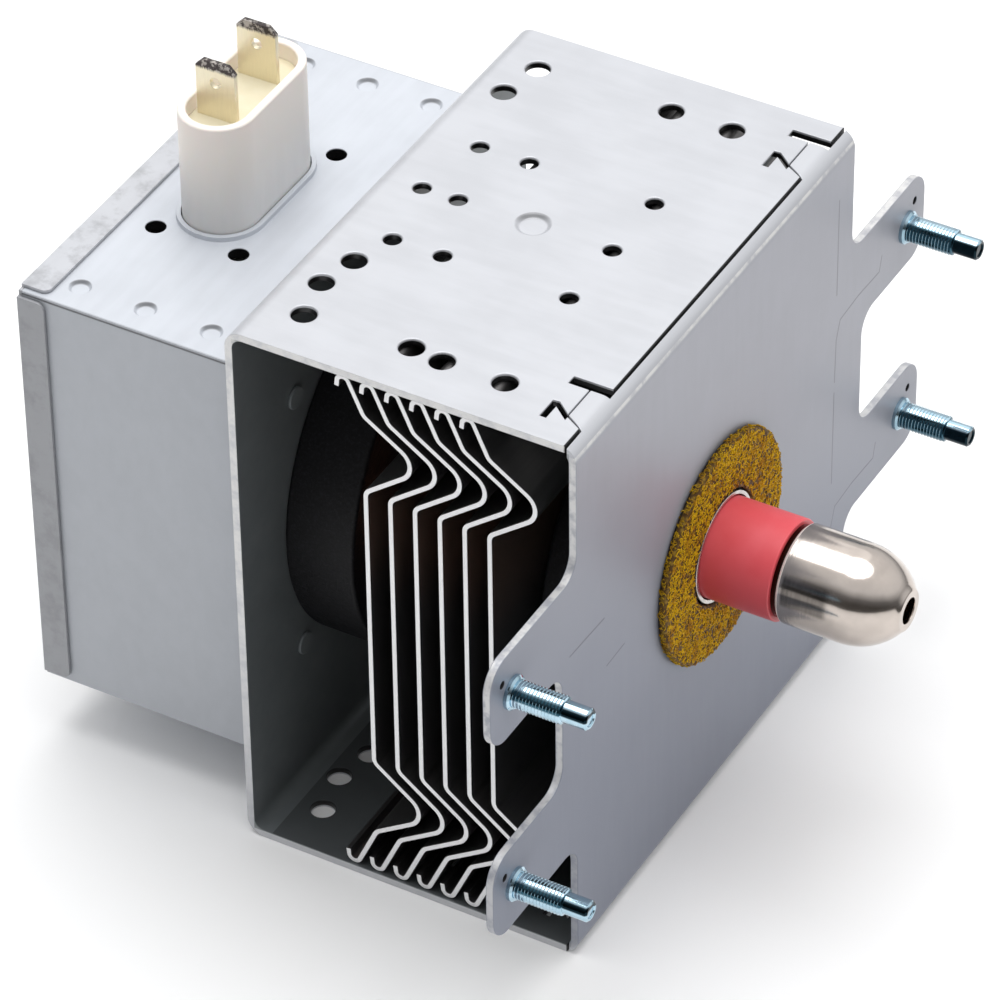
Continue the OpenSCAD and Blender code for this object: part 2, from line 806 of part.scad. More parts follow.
// Vanes brazed into the shell, grooved on both edges for the strap rings
module anode_vanes() {
    color(copper)
        difference() {
            intersection() {
                for (k = [0:vane_count - 1])
                    rotate([360 * k / vane_count, 0, 0])
                        translate([vane_back, -vane_t / 2, vane_tip_d / 2])
                            cube([vane_h, vane_t, anode_in]);
                rod_x(anode_in, vane_back, vane_front);
            }
            for (ring = [0, 1])
                strap_groove(strap_r + ring * strap_step);
        }
}

// Grooves on both edges of the vanes for one pair of strap rings
module strap_groove(r) {
    outer = r + strap_t / 2 + strap_gap;
    inner = r - strap_t / 2 - strap_gap;
    tube_x(outer, inner, vane_front - strap_h, vane_front + strap_h);
    tube_x(outer, inner, vane_back - strap_h, vane_back + strap_h);
}

module strap_rings() {
    color(copper)
        for (ring = [0, 1]) {
            r = strap_r + ring * strap_step;
            tube_x(r + strap_t / 2, r - strap_t / 2, vane_front - strap_h, vane_front);
            tube_x(r + strap_t / 2, r - strap_t / 2, vane_back, vane_back + strap_h);
        }
}

// Dished pole piece with its rim at X = 0 and its floor towards -X
module pole_piece() {
    floor_r = pole_floor_d / 2;
    rim_r = anode_in - pole_t;
    spin_x()
        polygon([
            [anode_in, 0],
            [anode_in, -pole_t],
            [floor_r, -pole_depth],
            [pole_bore / 2, -pole_depth],
            [pole_bore / 2, -pole_depth + pole_t],
            [floor_r - pole_t / 2, -pole_depth + pole_t],
            [rim_r - pole_t / 2, 0],
        ]);
}

// Front pole piece, with a hole that the antenna lead passes through
module output_pole_piece() {
    color(iron)
        difference() {
            translate([anode_front, 0, 0])
                pole_piece();
            translate([0, 0, antenna_lead_r])
                rod_x(antenna_lead_d, vane_front, anode_front);
        }
}

module input_pole_piece() {
    color(iron)
        translate([anode_back, 0, 0])
            mirror([1, 0, 0])
                pole_piece();
}

// Flange and sleeve from X = 0 out along +X, with a ledge that seats a ceramic
module seal_cup(len) {
    ledge_top = len - seat_depth;
    tube_x(seal_d / 2, sleeve_in, 0, seal_t);
    tube_x(sleeve_out, sleeve_in, 0, len);
    tube_x(sleeve_out - eps, sleeve_in - seat_ledge, ledge_top - sleeve_wall, ledge_top);
}

module output_seal_cup() {
    color(seal_metal)
        translate([anode_front, 0, 0])
            seal_cup(sleeve_rise - anode_front);
}

module input_seal_cup() {
    color(seal_metal)
        translate([anode_back, 0, 0])
            mirror([1, 0, 0])
                seal_cup(anode_back + yoke_len + sleeve_drop);
}

// Antenna

module antenna_ceramic() {
    color(pink_ceramic)
        tube_x(ceramic_d / 2, ceramic_d / 2 - ceramic_wall, ceramic_front_start, ceramic_front_end);
}

// Points of the cap's shoulder, set in from its outside by a depth
function shoulder(depth) = [for (k = [0:shoulder_steps]) let (a = cap_turn * k / shoulder_steps)
    [cap_r - cap_shoulder_r + (cap_shoulder_r - depth) * cos(a),
        cap_straight + (cap_shoulder_r - depth) * sin(a)]];

// Thin cap with a rounded shoulder and an open nose
module antenna_cap() {
    outer = shoulder(0);
    inner = shoulder(cap_wall);
    nose = outer[shoulder_steps][1] + cap_lip;
    hole_r = cap_hole_d / 2;
    color(stainless)
        translate([ceramic_front_end, 0, 0])
            spin_x()
                polygon(concat(
                    [
                        [cap_neck_in, 0],
                        [cap_r - cap_neck, 0],
                        [cap_r - cap_neck, cap_neck_h],
                        [cap_r - cap_bevel, cap_neck_h],
                        [cap_r, cap_neck_h + cap_bevel],
                    ],
                    outer,
                    [
                        [cap_nose_d / 2 - cap_lip, nose],
                        [hole_r, nose],
                        [hole_r, inner[shoulder_steps][1]],
                    ],
                    [for (k = [shoulder_steps:-1:0]) inner[k]],
                    [
                        [cap_r - cap_wall, cap_neck_h + cap_wall],
                        [cap_neck_in, cap_neck_h + cap_wall],
                    ]
                ));
}

// Copper exhaust tube on the ceramic's end, pinched shut inside the cap
module exhaust_tube() {
    r = exhaust_d / 2;
    foot = ceramic_front_end;
    tube_end = foot + exhaust_len;
    pinch = tube_end + pinch_len;
    color(copper) {
        difference() {
            union() {
                rod_x(cap_neck_in - braze_gap, foot, foot + seal_t);
                rod_x(r, foot, tube_end);
            }
            rod_x(r - exhaust_wall, foot - eps, tube_end - exhaust_wall);
        }
        hull() {
            rod_x(r, tube_end - eps, tube_end, $fn = 32);
            translate([pinch - eps, -r, -pinch_t / 2])
                cube([eps, exhaust_d, pinch_t]);
        }
    }
}

// Rod from one vane through the pole piece to the axis and into the exhaust tube
module antenna_lead() {
    r = antenna_lead_d / 2;
    knee = anode_front - pole_depth + pole_t;
    bent = knee + antenna_lead_r / tan(lead_turn);
    color(copper) {
        translate([0, 0, antenna_lead_r])
            rod_x(r, vane_front, knee);
        translate([knee, 0, antenna_lead_r]) {
            sphere(r * lead_knuckle);
            rotate([0, 90 + lead_turn, 0])
                cylinder(r = r, h = antenna_lead_r / sin(lead_turn));
        }
        translate([bent, 0, 0])
            sphere(r * lead_knuckle);
        rod_x(r, bent, ceramic_front_end + exhaust_len - exhaust_wall);
    }
}

// Gasket

// Flat knitted ring on the front plate round the sleeve
module rf_gasket() {
    inner = sleeve_out + gasket_gap;
    outer = gasket_d / 2;
    color(gold_mesh)
        spin_x() {
            translate([inner + gasket_round, 0])
                square([outer - inner - 2 * gasket_round, gasket_t]);
            translate([inner, gasket_round])
                square([outer - inner, gasket_t - 2 * gasket_round]);
            for (r = [inner + gasket_round, outer - gasket_round])
                for (x = [gasket_round, gasket_t - gasket_round])
                    translate([r, x])
                        circle(gasket_round);
        }
}

// Cathode

module stem_ceramic() {
    color(pink_ceramic)
        difference() {
            rod_x(ceramic_d / 2, stem_end, stem_start);
            for (y = [0, lead_pitch])
                translate([0, y, 0])
                    rod_x(lead_d / 2, stem_end - eps, stem_start + eps);
        }
}

// Lead on the axis that carries the front end hat
module centre_lead() {
    color(tungsten)
        rod_x(lead_d / 2, lead_end, vane_front);
}

// Lead beside it that carries the rear end hat
module side_lead() {
    color(tungsten)
        translate([0, lead_pitch, 0])
            rod_x(lead_d / 2, lead_end, vane_back - hat_t);
}

module front_end_hat() {
    color(tungsten)
        rod_x(hat_d / 2, vane_front, vane_front + hat_t);
}

// Rear hat, with room for the centre lead to pass
module rear_end_hat() {
    color(tungsten)
        tube_x(hat_d / 2, lead_d / 2 + braze_gap, vane_back - hat_t, vane_back);
}

// Filament between the two hats
module filament() {
    color(tungsten)
        translate([vane_back + filament_wire / 2, 0, 0])
            rotate([0, 90, 0])
                helix(filament_d / 2, filament_wire, vane_h - filament_wire, filament_turns);
}

// Filter box

// Box walls and floor, with the connector's drawn rim and two rows of dents on top
module filter_box() {
    color(steel)
        difference() {
            union() {
                difference() {
                    translate([box_end, -box_w / 2, -box_h / 2])
                        cube([-yoke_len - box_end, box_w, box_h]);
                    translate([box_end - eps, box_sheet - box_w / 2, box_sheet - box_h / 2])
                        cube([box_floor - box_end + eps, box_w - 2 * box_sheet, box_h - 2 * box_sheet]);
                }
                translate([tower_x, 0, box_top - eps])
                    linear_extrude(rim_h + eps)
                        stadium(tower_half, tower_r + rim_gap + rim_t);
            }
            for (k = [0:2], side = [-1, 1])
                translate([-yoke_len - dent_start - k * dent_pitch, side * (box_w / 2 - dent_edge), box_top])
                    cylinder(d = dent_d, h = 2 * dent_depth, center = true);
            translate([tower_x, 0, box_top - 2 * box_sheet])
                linear_extrude(2 * box_sheet + 2 * rim_h)
                    stadium(tower_half, tower_r + rim_gap);
            eyelet_drills();
            rod_x(sleeve_hole, box_floor - box_sheet, -yoke_len + box_sheet);
            four(rivet_pitch_y, rivet_span_z, rivet_lift)
                rod_x(rivet_d / 2, box_floor - box_sheet, -yoke_len + box_sheet);
        }
}

// Upright drills of the four eyelets beside the connector
module eyelet_drills() {
    for (sx = [-1, 1], sy = [-1, 1])
        translate([tower_x + sx * eyelet_pitch_x / 2, sy * eyelet_pitch_y / 2, ground_bottom - ground_t])
            cylinder(d = eyelet_d, h = ground_t * 3 + box_sheet);
}

// Lid with four flanges folded over the outside of the box
module filter_lid() {
    color(steel) {
        along_x(lid_back, box_end) {
            square([box_w, box_h], center = true);
            square([box_w - 2 * lid_relief, box_h + 2 * (lid_gap + lid_sheet)], center = true);
            square([box_w + 2 * (lid_gap + lid_sheet), box_h - 2 * lid_relief], center = true);
        }
        for (turn = [0, 180]) {
            rotate([turn, 0, 0])
                lid_flange_over(box_w, box_h);
            rotate([turn + 90, 0, 0])
                lid_flange_over(box_h, box_w);
        }
    }
}

// Flange over a side of the box of a given width, that far from the opposite side
module lid_flange_over(width, across) {
    translate([0, 0, across / 2 + lid_gap])
        linear_extrude(lid_sheet)
            mirror([1, 0])
                round_left(-lid_back - lid_flange, -lid_back, width - 2 * lid_relief, lid_round);
}

// Rivets through the back plate and the box's floor
module box_rivets() {
    color(steel)
        four(rivet_pitch_y, rivet_span_z, rivet_lift) {
            rod_x(rivet_d / 2, box_floor - eps, back_inner + eps);
            rod_x(rivet_head_d / 2, back_inner, back_inner + rivet_head_h);
            rod_x(rivet_head_d / 2, box_floor - rivet_head_h, box_floor);
        }
}

// Connector

// Hollow stadium tower that stands on the ground plate and comes up through the box
module connector_body() {
    color(cream)
        translate([tower_x, 0, box_ceiling])
            linear_extrude(rim_top - box_ceiling)
                difference() {
                    stadium(tower_half, tower_r);
                    stadium(tower_half, tower_r - tower_wall);
                }
}

// Potting round the blades inside the tower
module connector_potting() {
    color(resin)
        difference() {
            translate([tower_x, 0, box_ceiling])
                linear_extrude(tower_h + box_sheet - potting_depth)
                    stadium(tower_half, tower_r - tower_wall);
            for (side = [-1, 1])
                blade(side);
        }
}

// One blade with bevelled end, standing on its round conductor
module blade(side) {
    top = rim_top + tab_rise;
    half = tab_w / 2;
    translate([tab_x, side * tab_pitch / 2, 0]) {
        translate([0, 0, box_ceiling])
            along_y(tab_t)
                polygon([
                    [-half, 0],
                    [half, 0],
                    [half, top - tab_bevel - box_ceiling],
                    [half - tab_bevel, top - box_ceiling],
                    [tab_bevel - half, top - box_ceiling],
                    [-half, top - tab_bevel - box_ceiling],
                ]);
        translate([0, 0, conductor_bottom])
            cylinder(d = conductor_d, h = box_ceiling - conductor_bottom);
    }
}

// Blade terminal with the hole of a quick-connect tab
module terminal_tab(side) {
    color(tin)
        difference() {
            blade(side);
            translate([tab_x, side * tab_pitch / 2, rim_top + tab_rise - tab_hole_drop])
                rotate([90, 0, 0])
                    cylinder(d = tab_hole_d, h = 4 * tab_t, center = true);
        }
}

module terminal_tab_near() { terminal_tab(-1); }
module terminal_tab_far() { terminal_tab(1); }

// Plate under the box's top that carries the capacitor
module ground_plate() {
    color(steel)
        difference() {
            translate([tower_x - ground_len / 2, -ground_w / 2, ground_bottom])
                cube([ground_len, ground_w, ground_t]);
            eyelet_drills();
            for (side = [-1, 1])
                conductor_drill(side);
        }
}

// Upright drill of one conductor
module conductor_drill(side) {
    translate([tab_x, side * tab_pitch / 2, conductor_bottom])
        cylinder(d = conductor_d, h = box_top - conductor_bottom);
}

module capacitor_ceramic() {
    color(cream)
        difference() {
            translate([tower_x, 0, capacitor_bottom])
                linear_extrude(capacitor_h)
                    stadium(tower_half, tower_r);
            for (side = [-1, 1])
                conductor_drill(side);
        }
}

// Chokes

// Winding from the lead strip up to the capacitor's conductor, on the +Y side
module choke_coil() {
    color(enamel)
        translate([tab_x, choke_y, 0]) {
            translate([0, 0, choke_low])
                mirror([0, 1, 0])
                    helix(choke_r, choke_wire, choke_rise, choke_turns + choke_part_turn);
            translate([choke_r, 0, strip_top])
                cylinder(d = choke_wire, h = choke_low - strip_top);
            translate([0, -choke_r, choke_high])
                cylinder(d = choke_wire, h = conductor_bottom - choke_high);
        }
}

// Ferrite core inside a winding, on the +Y side
module choke_core() {
    color(ferrite)
        translate([tab_x, choke_y, (choke_low + choke_high - core_len) / 2])
            cylinder(d = core_d, h = core_len);
}

module choke_coil_near() { mirror([0, 1, 0]) choke_coil(); }
module choke_coil_far() { choke_coil(); }
module choke_core_near() { mirror([0, 1, 0]) choke_core(); }
module choke_core_far() { choke_core(); }

// Strip that joins the centre lead to the near winding
module lead_strip_near() {
    color(tin)
        translate([strip_back, -strip_outer, -strip_h / 2])
            cube([strip_t, strip_outer + lead_d / 2, strip_h]);
}

// Strip that joins the side lead to the far winding
module lead_strip_far() {
    start = lead_pitch - lead_d / 2;
    color(tin)
        translate([strip_back, start, -strip_h / 2])
            cube([strip_t, strip_outer - start, strip_h]);
}

rear_yoke();
front_plate();
mounting_studs();
front_magnet();
rear_magnet();
fin_1();
fin_2();
fin_3();
fin_4();
fin_5();
fin_6();
anode_shell();
anode_vanes();
strap_rings();
output_pole_piece();
input_pole_piece();
output_seal_cup();
input_seal_cup();
antenna_ceramic();
antenna_cap();
exhaust_tube();
antenna_lead();
rf_gasket();
stem_ceramic();
centre_lead();
side_lead();
front_end_hat();
rear_end_hat();
filament();
filter_box();
filter_lid();
box_rivets();
connector_body();
connector_potting();
terminal_tab_near();
terminal_tab_far();
ground_plate();
capacitor_ceramic();
choke_coil_near();
choke_coil_far();
choke_core_near();
choke_core_far();
lead_strip_near();
lead_strip_far();
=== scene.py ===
"""Looks of an air-cooled magnetron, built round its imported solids. Sizes are in metres."""

import math

import bmesh
import bpy
from mathutils import Matrix, Vector


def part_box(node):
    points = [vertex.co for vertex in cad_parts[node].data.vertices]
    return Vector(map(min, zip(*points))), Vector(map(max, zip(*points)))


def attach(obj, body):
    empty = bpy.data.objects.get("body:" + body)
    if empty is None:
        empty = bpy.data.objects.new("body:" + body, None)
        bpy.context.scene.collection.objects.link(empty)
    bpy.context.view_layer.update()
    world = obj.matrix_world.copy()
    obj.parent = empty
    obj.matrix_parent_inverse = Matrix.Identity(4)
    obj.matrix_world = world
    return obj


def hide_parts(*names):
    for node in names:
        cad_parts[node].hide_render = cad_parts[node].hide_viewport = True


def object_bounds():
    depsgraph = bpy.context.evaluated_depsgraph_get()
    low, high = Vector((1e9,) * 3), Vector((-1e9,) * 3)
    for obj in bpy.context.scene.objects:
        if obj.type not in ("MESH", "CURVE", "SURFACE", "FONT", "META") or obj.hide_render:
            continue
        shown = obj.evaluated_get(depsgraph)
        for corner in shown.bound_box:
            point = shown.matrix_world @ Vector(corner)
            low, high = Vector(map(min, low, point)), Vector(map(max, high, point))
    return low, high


bl_info = {
    "name": "Magnetron looks",
    "version": (1, 0, 0),
    "blender": (4, 5, 0),
    "location": "3D View > Sidebar > Magnetron",
    "description": "Gives the solids of an air-cooled magnetron their edges, threads, mesh and finishes",
    "category": "Object",
}

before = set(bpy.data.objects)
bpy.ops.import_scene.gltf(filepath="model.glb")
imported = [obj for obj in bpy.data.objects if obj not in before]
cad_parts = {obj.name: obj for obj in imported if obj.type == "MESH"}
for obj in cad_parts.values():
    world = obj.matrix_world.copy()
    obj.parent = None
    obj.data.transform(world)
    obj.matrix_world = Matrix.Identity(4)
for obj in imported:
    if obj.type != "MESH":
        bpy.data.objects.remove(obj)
CAD_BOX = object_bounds()

MM = 0.001
MERGE = 1e-6
FLAT = math.radians(0.3)
BODY = "root"


# Sizes and colours that a user would change


def length_property(name, description, default, low, high, precision=5):
    """A length that is given in millimetres and kept in metres."""
    return bpy.props.FloatProperty(
        name=name, description=description, default=default * MM, min=low * MM, max=high * MM,
        precision=precision, unit="LENGTH")


def colour_property(name, description, default):
    return bpy.props.FloatVectorProperty(
        name=name, description=description, subtype="COLOR", default=default, min=0, max=1)


class MagnetronSizes(bpy.types.PropertyGroup):
    """Sizes of the details that the solids leave out."""

    sheet_edge: length_property("Sheet edge", "Rounding of the yoke's cut edges", 0.13, 0.02, 0.3)
    thin_edge: length_property(
        "Thin edge", "Rounding of the cut edges of the box, lid and blades", 0.08, 0.02, 0.2)
    tower_edge: length_property("Tower edge", "Rounding of the connector's rim", 0.35, 0.05, 0.6)
    hole_edge: length_property("Hole edge", "Rounding of the plate holes' rims", 0.28, 0.05, 0.5)
    dish_depth: length_property("Dent depth", "Depth of the pressed dents and of the dimple", 0.48, 0.1, 0.6)
    thread_pitch: length_property("Thread pitch", "Rise of the studs' thread in one turn", 0.5, 0.4, 1.2)
    thread_depth: length_property("Thread depth", "Depth of the studs' thread", 0.09, 0.05, 0.6)
    wire_radius: length_property("Gasket wire", "Radius of the gasket's knitted wire", 0.075, 0.03, 0.2, 6)
    stitch_radius: length_property("Gasket stitch", "Radius of one stitch of the gasket", 0.34, 0.2, 1.2)
    stitch_density: bpy.props.FloatProperty(
        name="Stitches", description="Stitches on a square metre of the gasket",
        default=5.2e6, min=1.0e5, max=6.0e6)
    stitch_seed: bpy.props.IntProperty(
        name="Stitch seed", description="Seed of the gasket's stitches", default=7, min=0)


class MagnetronColours(bpy.types.PropertyGroup):
    """Colours of the finishes."""

    yoke: colour_property("Yoke", "Zinc on the yoke's sheet", (0.53, 0.54, 0.57))
    # The front plate is the same zinc as the yoke; its darker colour is painted shade on the upright face
    plate: colour_property("Front plate", "Zinc on the front plate", (0.37, 0.375, 0.415))
    box: colour_property("Filter box", "Zinc on the filter box", (0.56, 0.585, 0.63))
    lid: colour_property("Filter lid", "Zinc on the filter box's lid", (0.52, 0.53, 0.56))
    # The studs' colour goes only into their painted dark reflection band; the milky zinc is set in blue_zinc
    studs: colour_property("Studs", "Blue zinc on the studs", (0.13, 0.37, 0.52))
    # The magnets' colour is darkened below bare ferrite as painted shade inside the yoke
    magnets: colour_property("Magnets", "Black ferrite", (0.004, 0.004, 0.005))
    # The fins' colour is far darker than bare aluminium: painted shade between the fins
    fins: colour_property("Fins", "Rolled aluminium", (0.15, 0.145, 0.145))
    copper: colour_property("Copper", "Copper of the tube", (0.55, 0.22, 0.11))
    ceramic: colour_property("Antenna ceramic", "Pink ceramic", (0.72, 0.072, 0.09))
    cap: colour_property("Antenna cap", "Drawn bright cap", (0.56, 0.50, 0.455))
    gasket: colour_property("Gasket wire", "Golden wire of the gasket", (0.74, 0.45, 0.008))
    tower: colour_property("Connector", "Cream plastic of the connector", (0.90, 0.84, 0.78))
    blades: colour_property("Blades", "Tinned blade terminals", (0.86, 0.79, 0.60))


class MagnetronStage(bpy.types.PropertyGroup):
    """Floor, lamps and camera."""

    floor: colour_property("Floor", "Colour of the floor", (0.94, 0.94, 0.94))
    top_lamp: bpy.props.FloatProperty(
        name="Top lamp", description="Power of the soft lamp overhead", default=8.0, min=0, unit="POWER")
    back_lamp: bpy.props.FloatProperty(
        name="Back lamp", description="Power of the soft lamp behind and above",
        default=0.8, min=0, unit="POWER")
    surround: bpy.props.FloatProperty(
        name="Surround", description="Strength of the light from all round", default=1.0, min=0)
    lens: bpy.props.FloatProperty(
        name="Lens", description="Focal length on a 36 mm sensor", default=223.6, min=20, max=400)


# Node graphs


class Socket:
    """One output of a node; arithmetic on it adds Math nodes to its graph."""

    def __init__(self, graph, output):
        self.graph = graph
        self.output = output

    def maths(self, operation, *values):
        return self.graph.node("ShaderNodeMath", dict(enumerate(values)), operation=operation)

    def __add__(self, other):
        return self.maths("ADD", self, other)

    def __radd__(self, other):
        return self.maths("ADD", other, self)

    def __sub__(self, other):
        return self.maths("SUBTRACT", self, other)

    def __rsub__(self, other):
        return self.maths("SUBTRACT", other, self)

    def __mul__(self, other):
        return self.maths("MULTIPLY", self, other)

    def __truediv__(self, other):
        return self.maths("DIVIDE", self, other)

    def __pow__(self, other):
        return self.maths("POWER", self, other)

    def __abs__(self):
        return self.maths("ABSOLUTE", self)

    def least(self, other):
        return self.maths("MINIMUM", self, other)

    def most(self, other):
        return self.maths("MAXIMUM", self, other)

    def ramp(self, low, high, out_low=0.0, out_high=1.0):
        """Smooth step from out_low at low to out_high at high, which may lie below low."""
        return self.graph.node(
            "ShaderNodeMapRange",
            {"Value": self, "From Min": low, "From Max": high, "To Min": out_low, "To Max": out_high},
            interpolation_type="SMOOTHSTEP")

    def window(self, low, full, fall, high):
        """Smooth rise from low to full and fall from fall to high."""
        return self.ramp(low, full) * self.ramp(high, fall)

    def __getitem__(self, name):
        """Another output of the same node."""
        return Socket(self.graph, self.output.node.outputs[name])


class Graph:
    """A node tree that nodes are added to by type, settings and sockets."""

    def __init__(self, tree):
        self.tree = tree

    def node(self, kind, sockets=None, output=0, **settings):
        """Adds a node and gives one of its outputs, or the node itself where it has none."""
        made = self.tree.nodes.new(kind)
        for name, value in settings.items():
            if name == "stops":
                ramp = made.color_ramp
                while len(ramp.elements) < len(value):
                    ramp.elements.new(0.5)
                for element, (place, colour) in zip(ramp.elements, value):
                    element.position = place
                    element.color = (*colour, 1.0)
            else:
                setattr(made, name, value)
        for name, value in (sockets or {}).items():
            if isinstance(value, Socket):
                self.tree.links.new(value.output, made.inputs[name])
            else:
                made.inputs[name].default_value = value
        return Socket(self, made.outputs[output]) if len(made.outputs) else made


class Finish(Graph):
    """A material with one Principled shader, whose patterns are in millimetres on Object coordinates."""

    def __init__(self, name, **constants):
        self.material = bpy.data.materials.new(name)
        self.material.use_nodes = True
        super().__init__(self.material.node_tree)
        self.tree.nodes.clear()
        self.shader = self.node("ShaderNodeBsdfPrincipled").output.node
        self.node("ShaderNodeOutputMaterial", {"Surface": Socket(self, self.shader.outputs[0])})
        place = self.node("ShaderNodeTexCoord", output="Object")
        self.point = self.node(
            "ShaderNodeVectorMath", {"Vector": place, "Scale": 1 / MM}, operation="SCALE")
        self.x = self.node("ShaderNodeSeparateXYZ", {"Vector": self.point})
        self.y = self.x["Y"]
        self.z = self.x["Z"]
        self.feed(**constants)

    def feed(self, **sockets):
        """Sets or links inputs of the shader, and gives the material."""
        for name, value in sockets.items():
            target = self.shader.inputs[name.replace("_", " ")]
            if isinstance(value, Socket):
                self.tree.links.new(value.output, target)
            else:
                target.default_value = value
        return self.material

    def noise(self, scale, detail=3.0, roughness=0.5, stretch=None):
        """Noise of about one wave in 1 / scale millimetres, stretched by a factor along each axis."""
        point = self.point
        if stretch:
            point = self.node("ShaderNodeVectorMath", {0: point, 1: stretch}, operation="MULTIPLY")
        return self.node(
            "ShaderNodeTexNoise",
            {"Vector": point, "Scale": scale, "Detail": detail, "Roughness": roughness})

    def cells(self, scale):
        return self.node("ShaderNodeTexVoronoi", {"Vector": self.point, "Scale": scale})

    def mix(self, factor, first, second):
        """Colour that goes from first to second."""
        def four(colour):
            return colour if isinstance(colour, Socket) else (*colour[:3], 1.0)
        return self.node(
            "ShaderNodeMix", {0: factor, 6: four(first), 7: four(second)}, output=2, data_type="RGBA")

    def bump(self, height, depth):
        """Normal from a height of 0 to 1 that stands for a depth in millimetres."""
        return self.node("ShaderNodeBump", {"Height": height, "Distance": depth * MM, "Strength": 1.0})

    def paint(self, factor, colour):
        """Lays a colour over the base colour so far."""
        self.colour = self.mix(factor, self.colour, colour)
        self.feed(Base_Color=self.colour)


def distance(across, along):
    return (across * across + along * along) ** 0.5


def tint(colour, factor):
    return tuple(min(1.0, c * factor) for c in colour)


# Sizes of the solids that the looks follow, in millimetres

SHEET = 1.2
YOKE_W, YOKE_H = 80.0, 90.0
# Front edge of the yoke's top, and the length of the corner at its back that has no holes
YOKE_EDGE, YOKE_CORNER = -1.75, 4.0
BOX_W, BOX_TOP, BOX_FRONT = 69.0, 34.5, -53.5
# From the box's top to the underside of the ground plate
EYELET_DEPTH = 4.1
GASKET_BORE = 17.2
# Arc of one stitch of the gasket, its greatest tilt, and the space kept free at the gasket's edges
STITCH_ARC, STITCH_TILT, STITCH_SLACK = math.radians(230), 0.42, 0.1
# Holes and dimple of the yoke's top, as distance from the back, distance from the middle and diameter
PLATE_HOLES = [
    *((x, side * y, 3.6)
      for x, y in ((7.7, 32.0), (6.2, 24.9), (28.9, 32.0), (38.4, 32.0)) for side in (-1, 1)),
    (23.9, -31.4, 3.6), (7.6, -18.6, 3.6),
    *((x, side * 12.0, 2.6) for x in (9.7, 17.5, 37.0) for side in (-1, 1)),
    *((x, 0.0, 2.6) for x in (7.4, 13.1, 37.0)),
]
DIMPLE = (24.8, 0.0, 5.3)
# Dents in the box's top, as x, y and radius
DENTS = [(x, y, 1.7) for x in (-62.0, -72.5, -83.0) for y in (-29.9, 29.9)]
# The eyelets lie within this distance of the middle, inside the rows of dents
EYELETS_Y = 26.5
# Pip holes in the ears
PIP_Y, PIP_Z, PIP_R = 60.05, (20.0, -14.0), 0.6
# The antenna cap's groove (painted shade), pale lip (painted highlight) and dark band (painted reflection),
# from its foot
CAP_GROOVE, CAP_LIP, CAP_BAND = 0.8, 1.3, (1.4, 9.2)
# The studs' radii, and their lengths along x
STUD_HEAD_R, STUD_SHANK_R, STUD_COLLAR_R, STUD_THREAD_R, STUD_POINT_R = 3.4, 2.4, 2.5, 2.0, 1.55
STUD_HEAD, STUD_COLLAR, STUD_THREAD_END, STUD_RUNOUT = 0.9, 0.8, 8.0, 0.35
STUD_EASE, STUD_CHAMFER, STUD_TIP_DISH = 0.15, 0.25, 0.2
# Faces round a stud, and steps in one turn of its thread
STUD_STEPS, THREAD_STEPS = 40, 28
FIN_COUNT = 6

# Lines pressed into the front plate, as (y, z) in millimetres

# Beside each far ear, for the upper one; the lower ear's lie STUD_RISE below, under LINE_BREAK
EAR_LINES = [
    [(35.5, 36.0), (35.5, 19.5)],
    [(49.7, 17.0), (49.0, 14.6), (42.3, 14.8), (36.8, 14.3), (35.7, 11.3), (35.5, 3.9)],
]
STUD_RISE, LINE_BREAK = 34.0, 3.8
# Short lines beside the upper near ear
NEAR_LINES = [[(-42.0, 11.3), (-32.6, 10.9)], [(-31.8, 2.0), (-26.9, 2.2)]]
LINE_WIDTH, LINE_DEPTH = 0.22, 0.05

# Rounded edges of the smaller pieces

CERAMIC_EDGE, STEM_EDGE, CAP_EDGE, CUP_EDGE = 0.25 * MM, 0.15 * MM, 0.06 * MM, 0.1 * MM
FIN_EDGE, MAGNET_EDGE, RIVET_EDGE = 0.05 * MM, 0.6 * MM, 0.15 * MM
POTTING_EDGE, ANODE_EDGE = 0.1 * MM, 0.2 * MM
# Steps in a dent's wall, and the wall's share of the radius
DISH_RINGS, DISH_WALL = 8, 0.32
# How far a corner may lie from the rim of its hole or dent, from its sheet's face, and below it in a dent
HOLE_SLACK, DENT_SLACK, FACE_SLACK, DENT_REACH = 0.05 * MM, 0.02 * MM, 0.01 * MM, 0.5 * MM
# Faces across the rounded rim of a hole
HOLE_PARTS = 4
# Least angle between the faces of an edge that is rounded
CORNER = math.radians(40)

# Finishes

# Direction of a dent's far wall, where the painted shade lies
FAR_X, FAR_Y = -0.5, 0.87
# Colour of the painted shade on the walls of holes, slots and eyelets
DARK_WALL = (0.012, 0.012, 0.013)
# Depth of the zinc's grain in millimetres
GRAIN = 0.008
# Painted shade: shares of the front plate's colour that are left low down on its near side, and the heights
# between
PLATE_SHADE, PLATE_SHADE_Z = (0.66, 0.695, 0.76), (36.0, -28.0)


def zinc_sheet(name, colour, metallic, roughness, stretch, spangle):
    """Zinc on rolled steel: faint clouds, rolling streaks and a fine grain."""
    f = Finish(name, Metallic=metallic)
    clouds = f.noise(0.09, 3.0, 0.55)
    streaks = f.noise(0.55, 4.0, 0.6, stretch)
    grain = f.noise(6.0, 2.0, 0.6)
    tone = clouds * 0.55 + streaks * 0.45
    f.colour = f.mix(tone.ramp(0.32, 0.68), tint(colour, 0.95), tint(colour, 1.04))
    f.height = grain * 0.5 + streaks * spangle + clouds * 0.5
    f.feed(
        Base_Color=f.colour,
        Roughness=roughness + (streaks - 0.5) * 0.12 + (clouds - 0.5) * 0.1,
        Normal=f.bump(f.height, GRAIN))
    return f


def shade_inside(f, inside):
    """Painted shade: darker, mottled zinc on the inner faces that the cooling air sweeps."""
    stain = f.noise(0.12, 4.0, 0.6)
    f.paint(inside, f.mix(stain, (0.14, 0.155, 0.16), (0.21, 0.23, 0.24)))


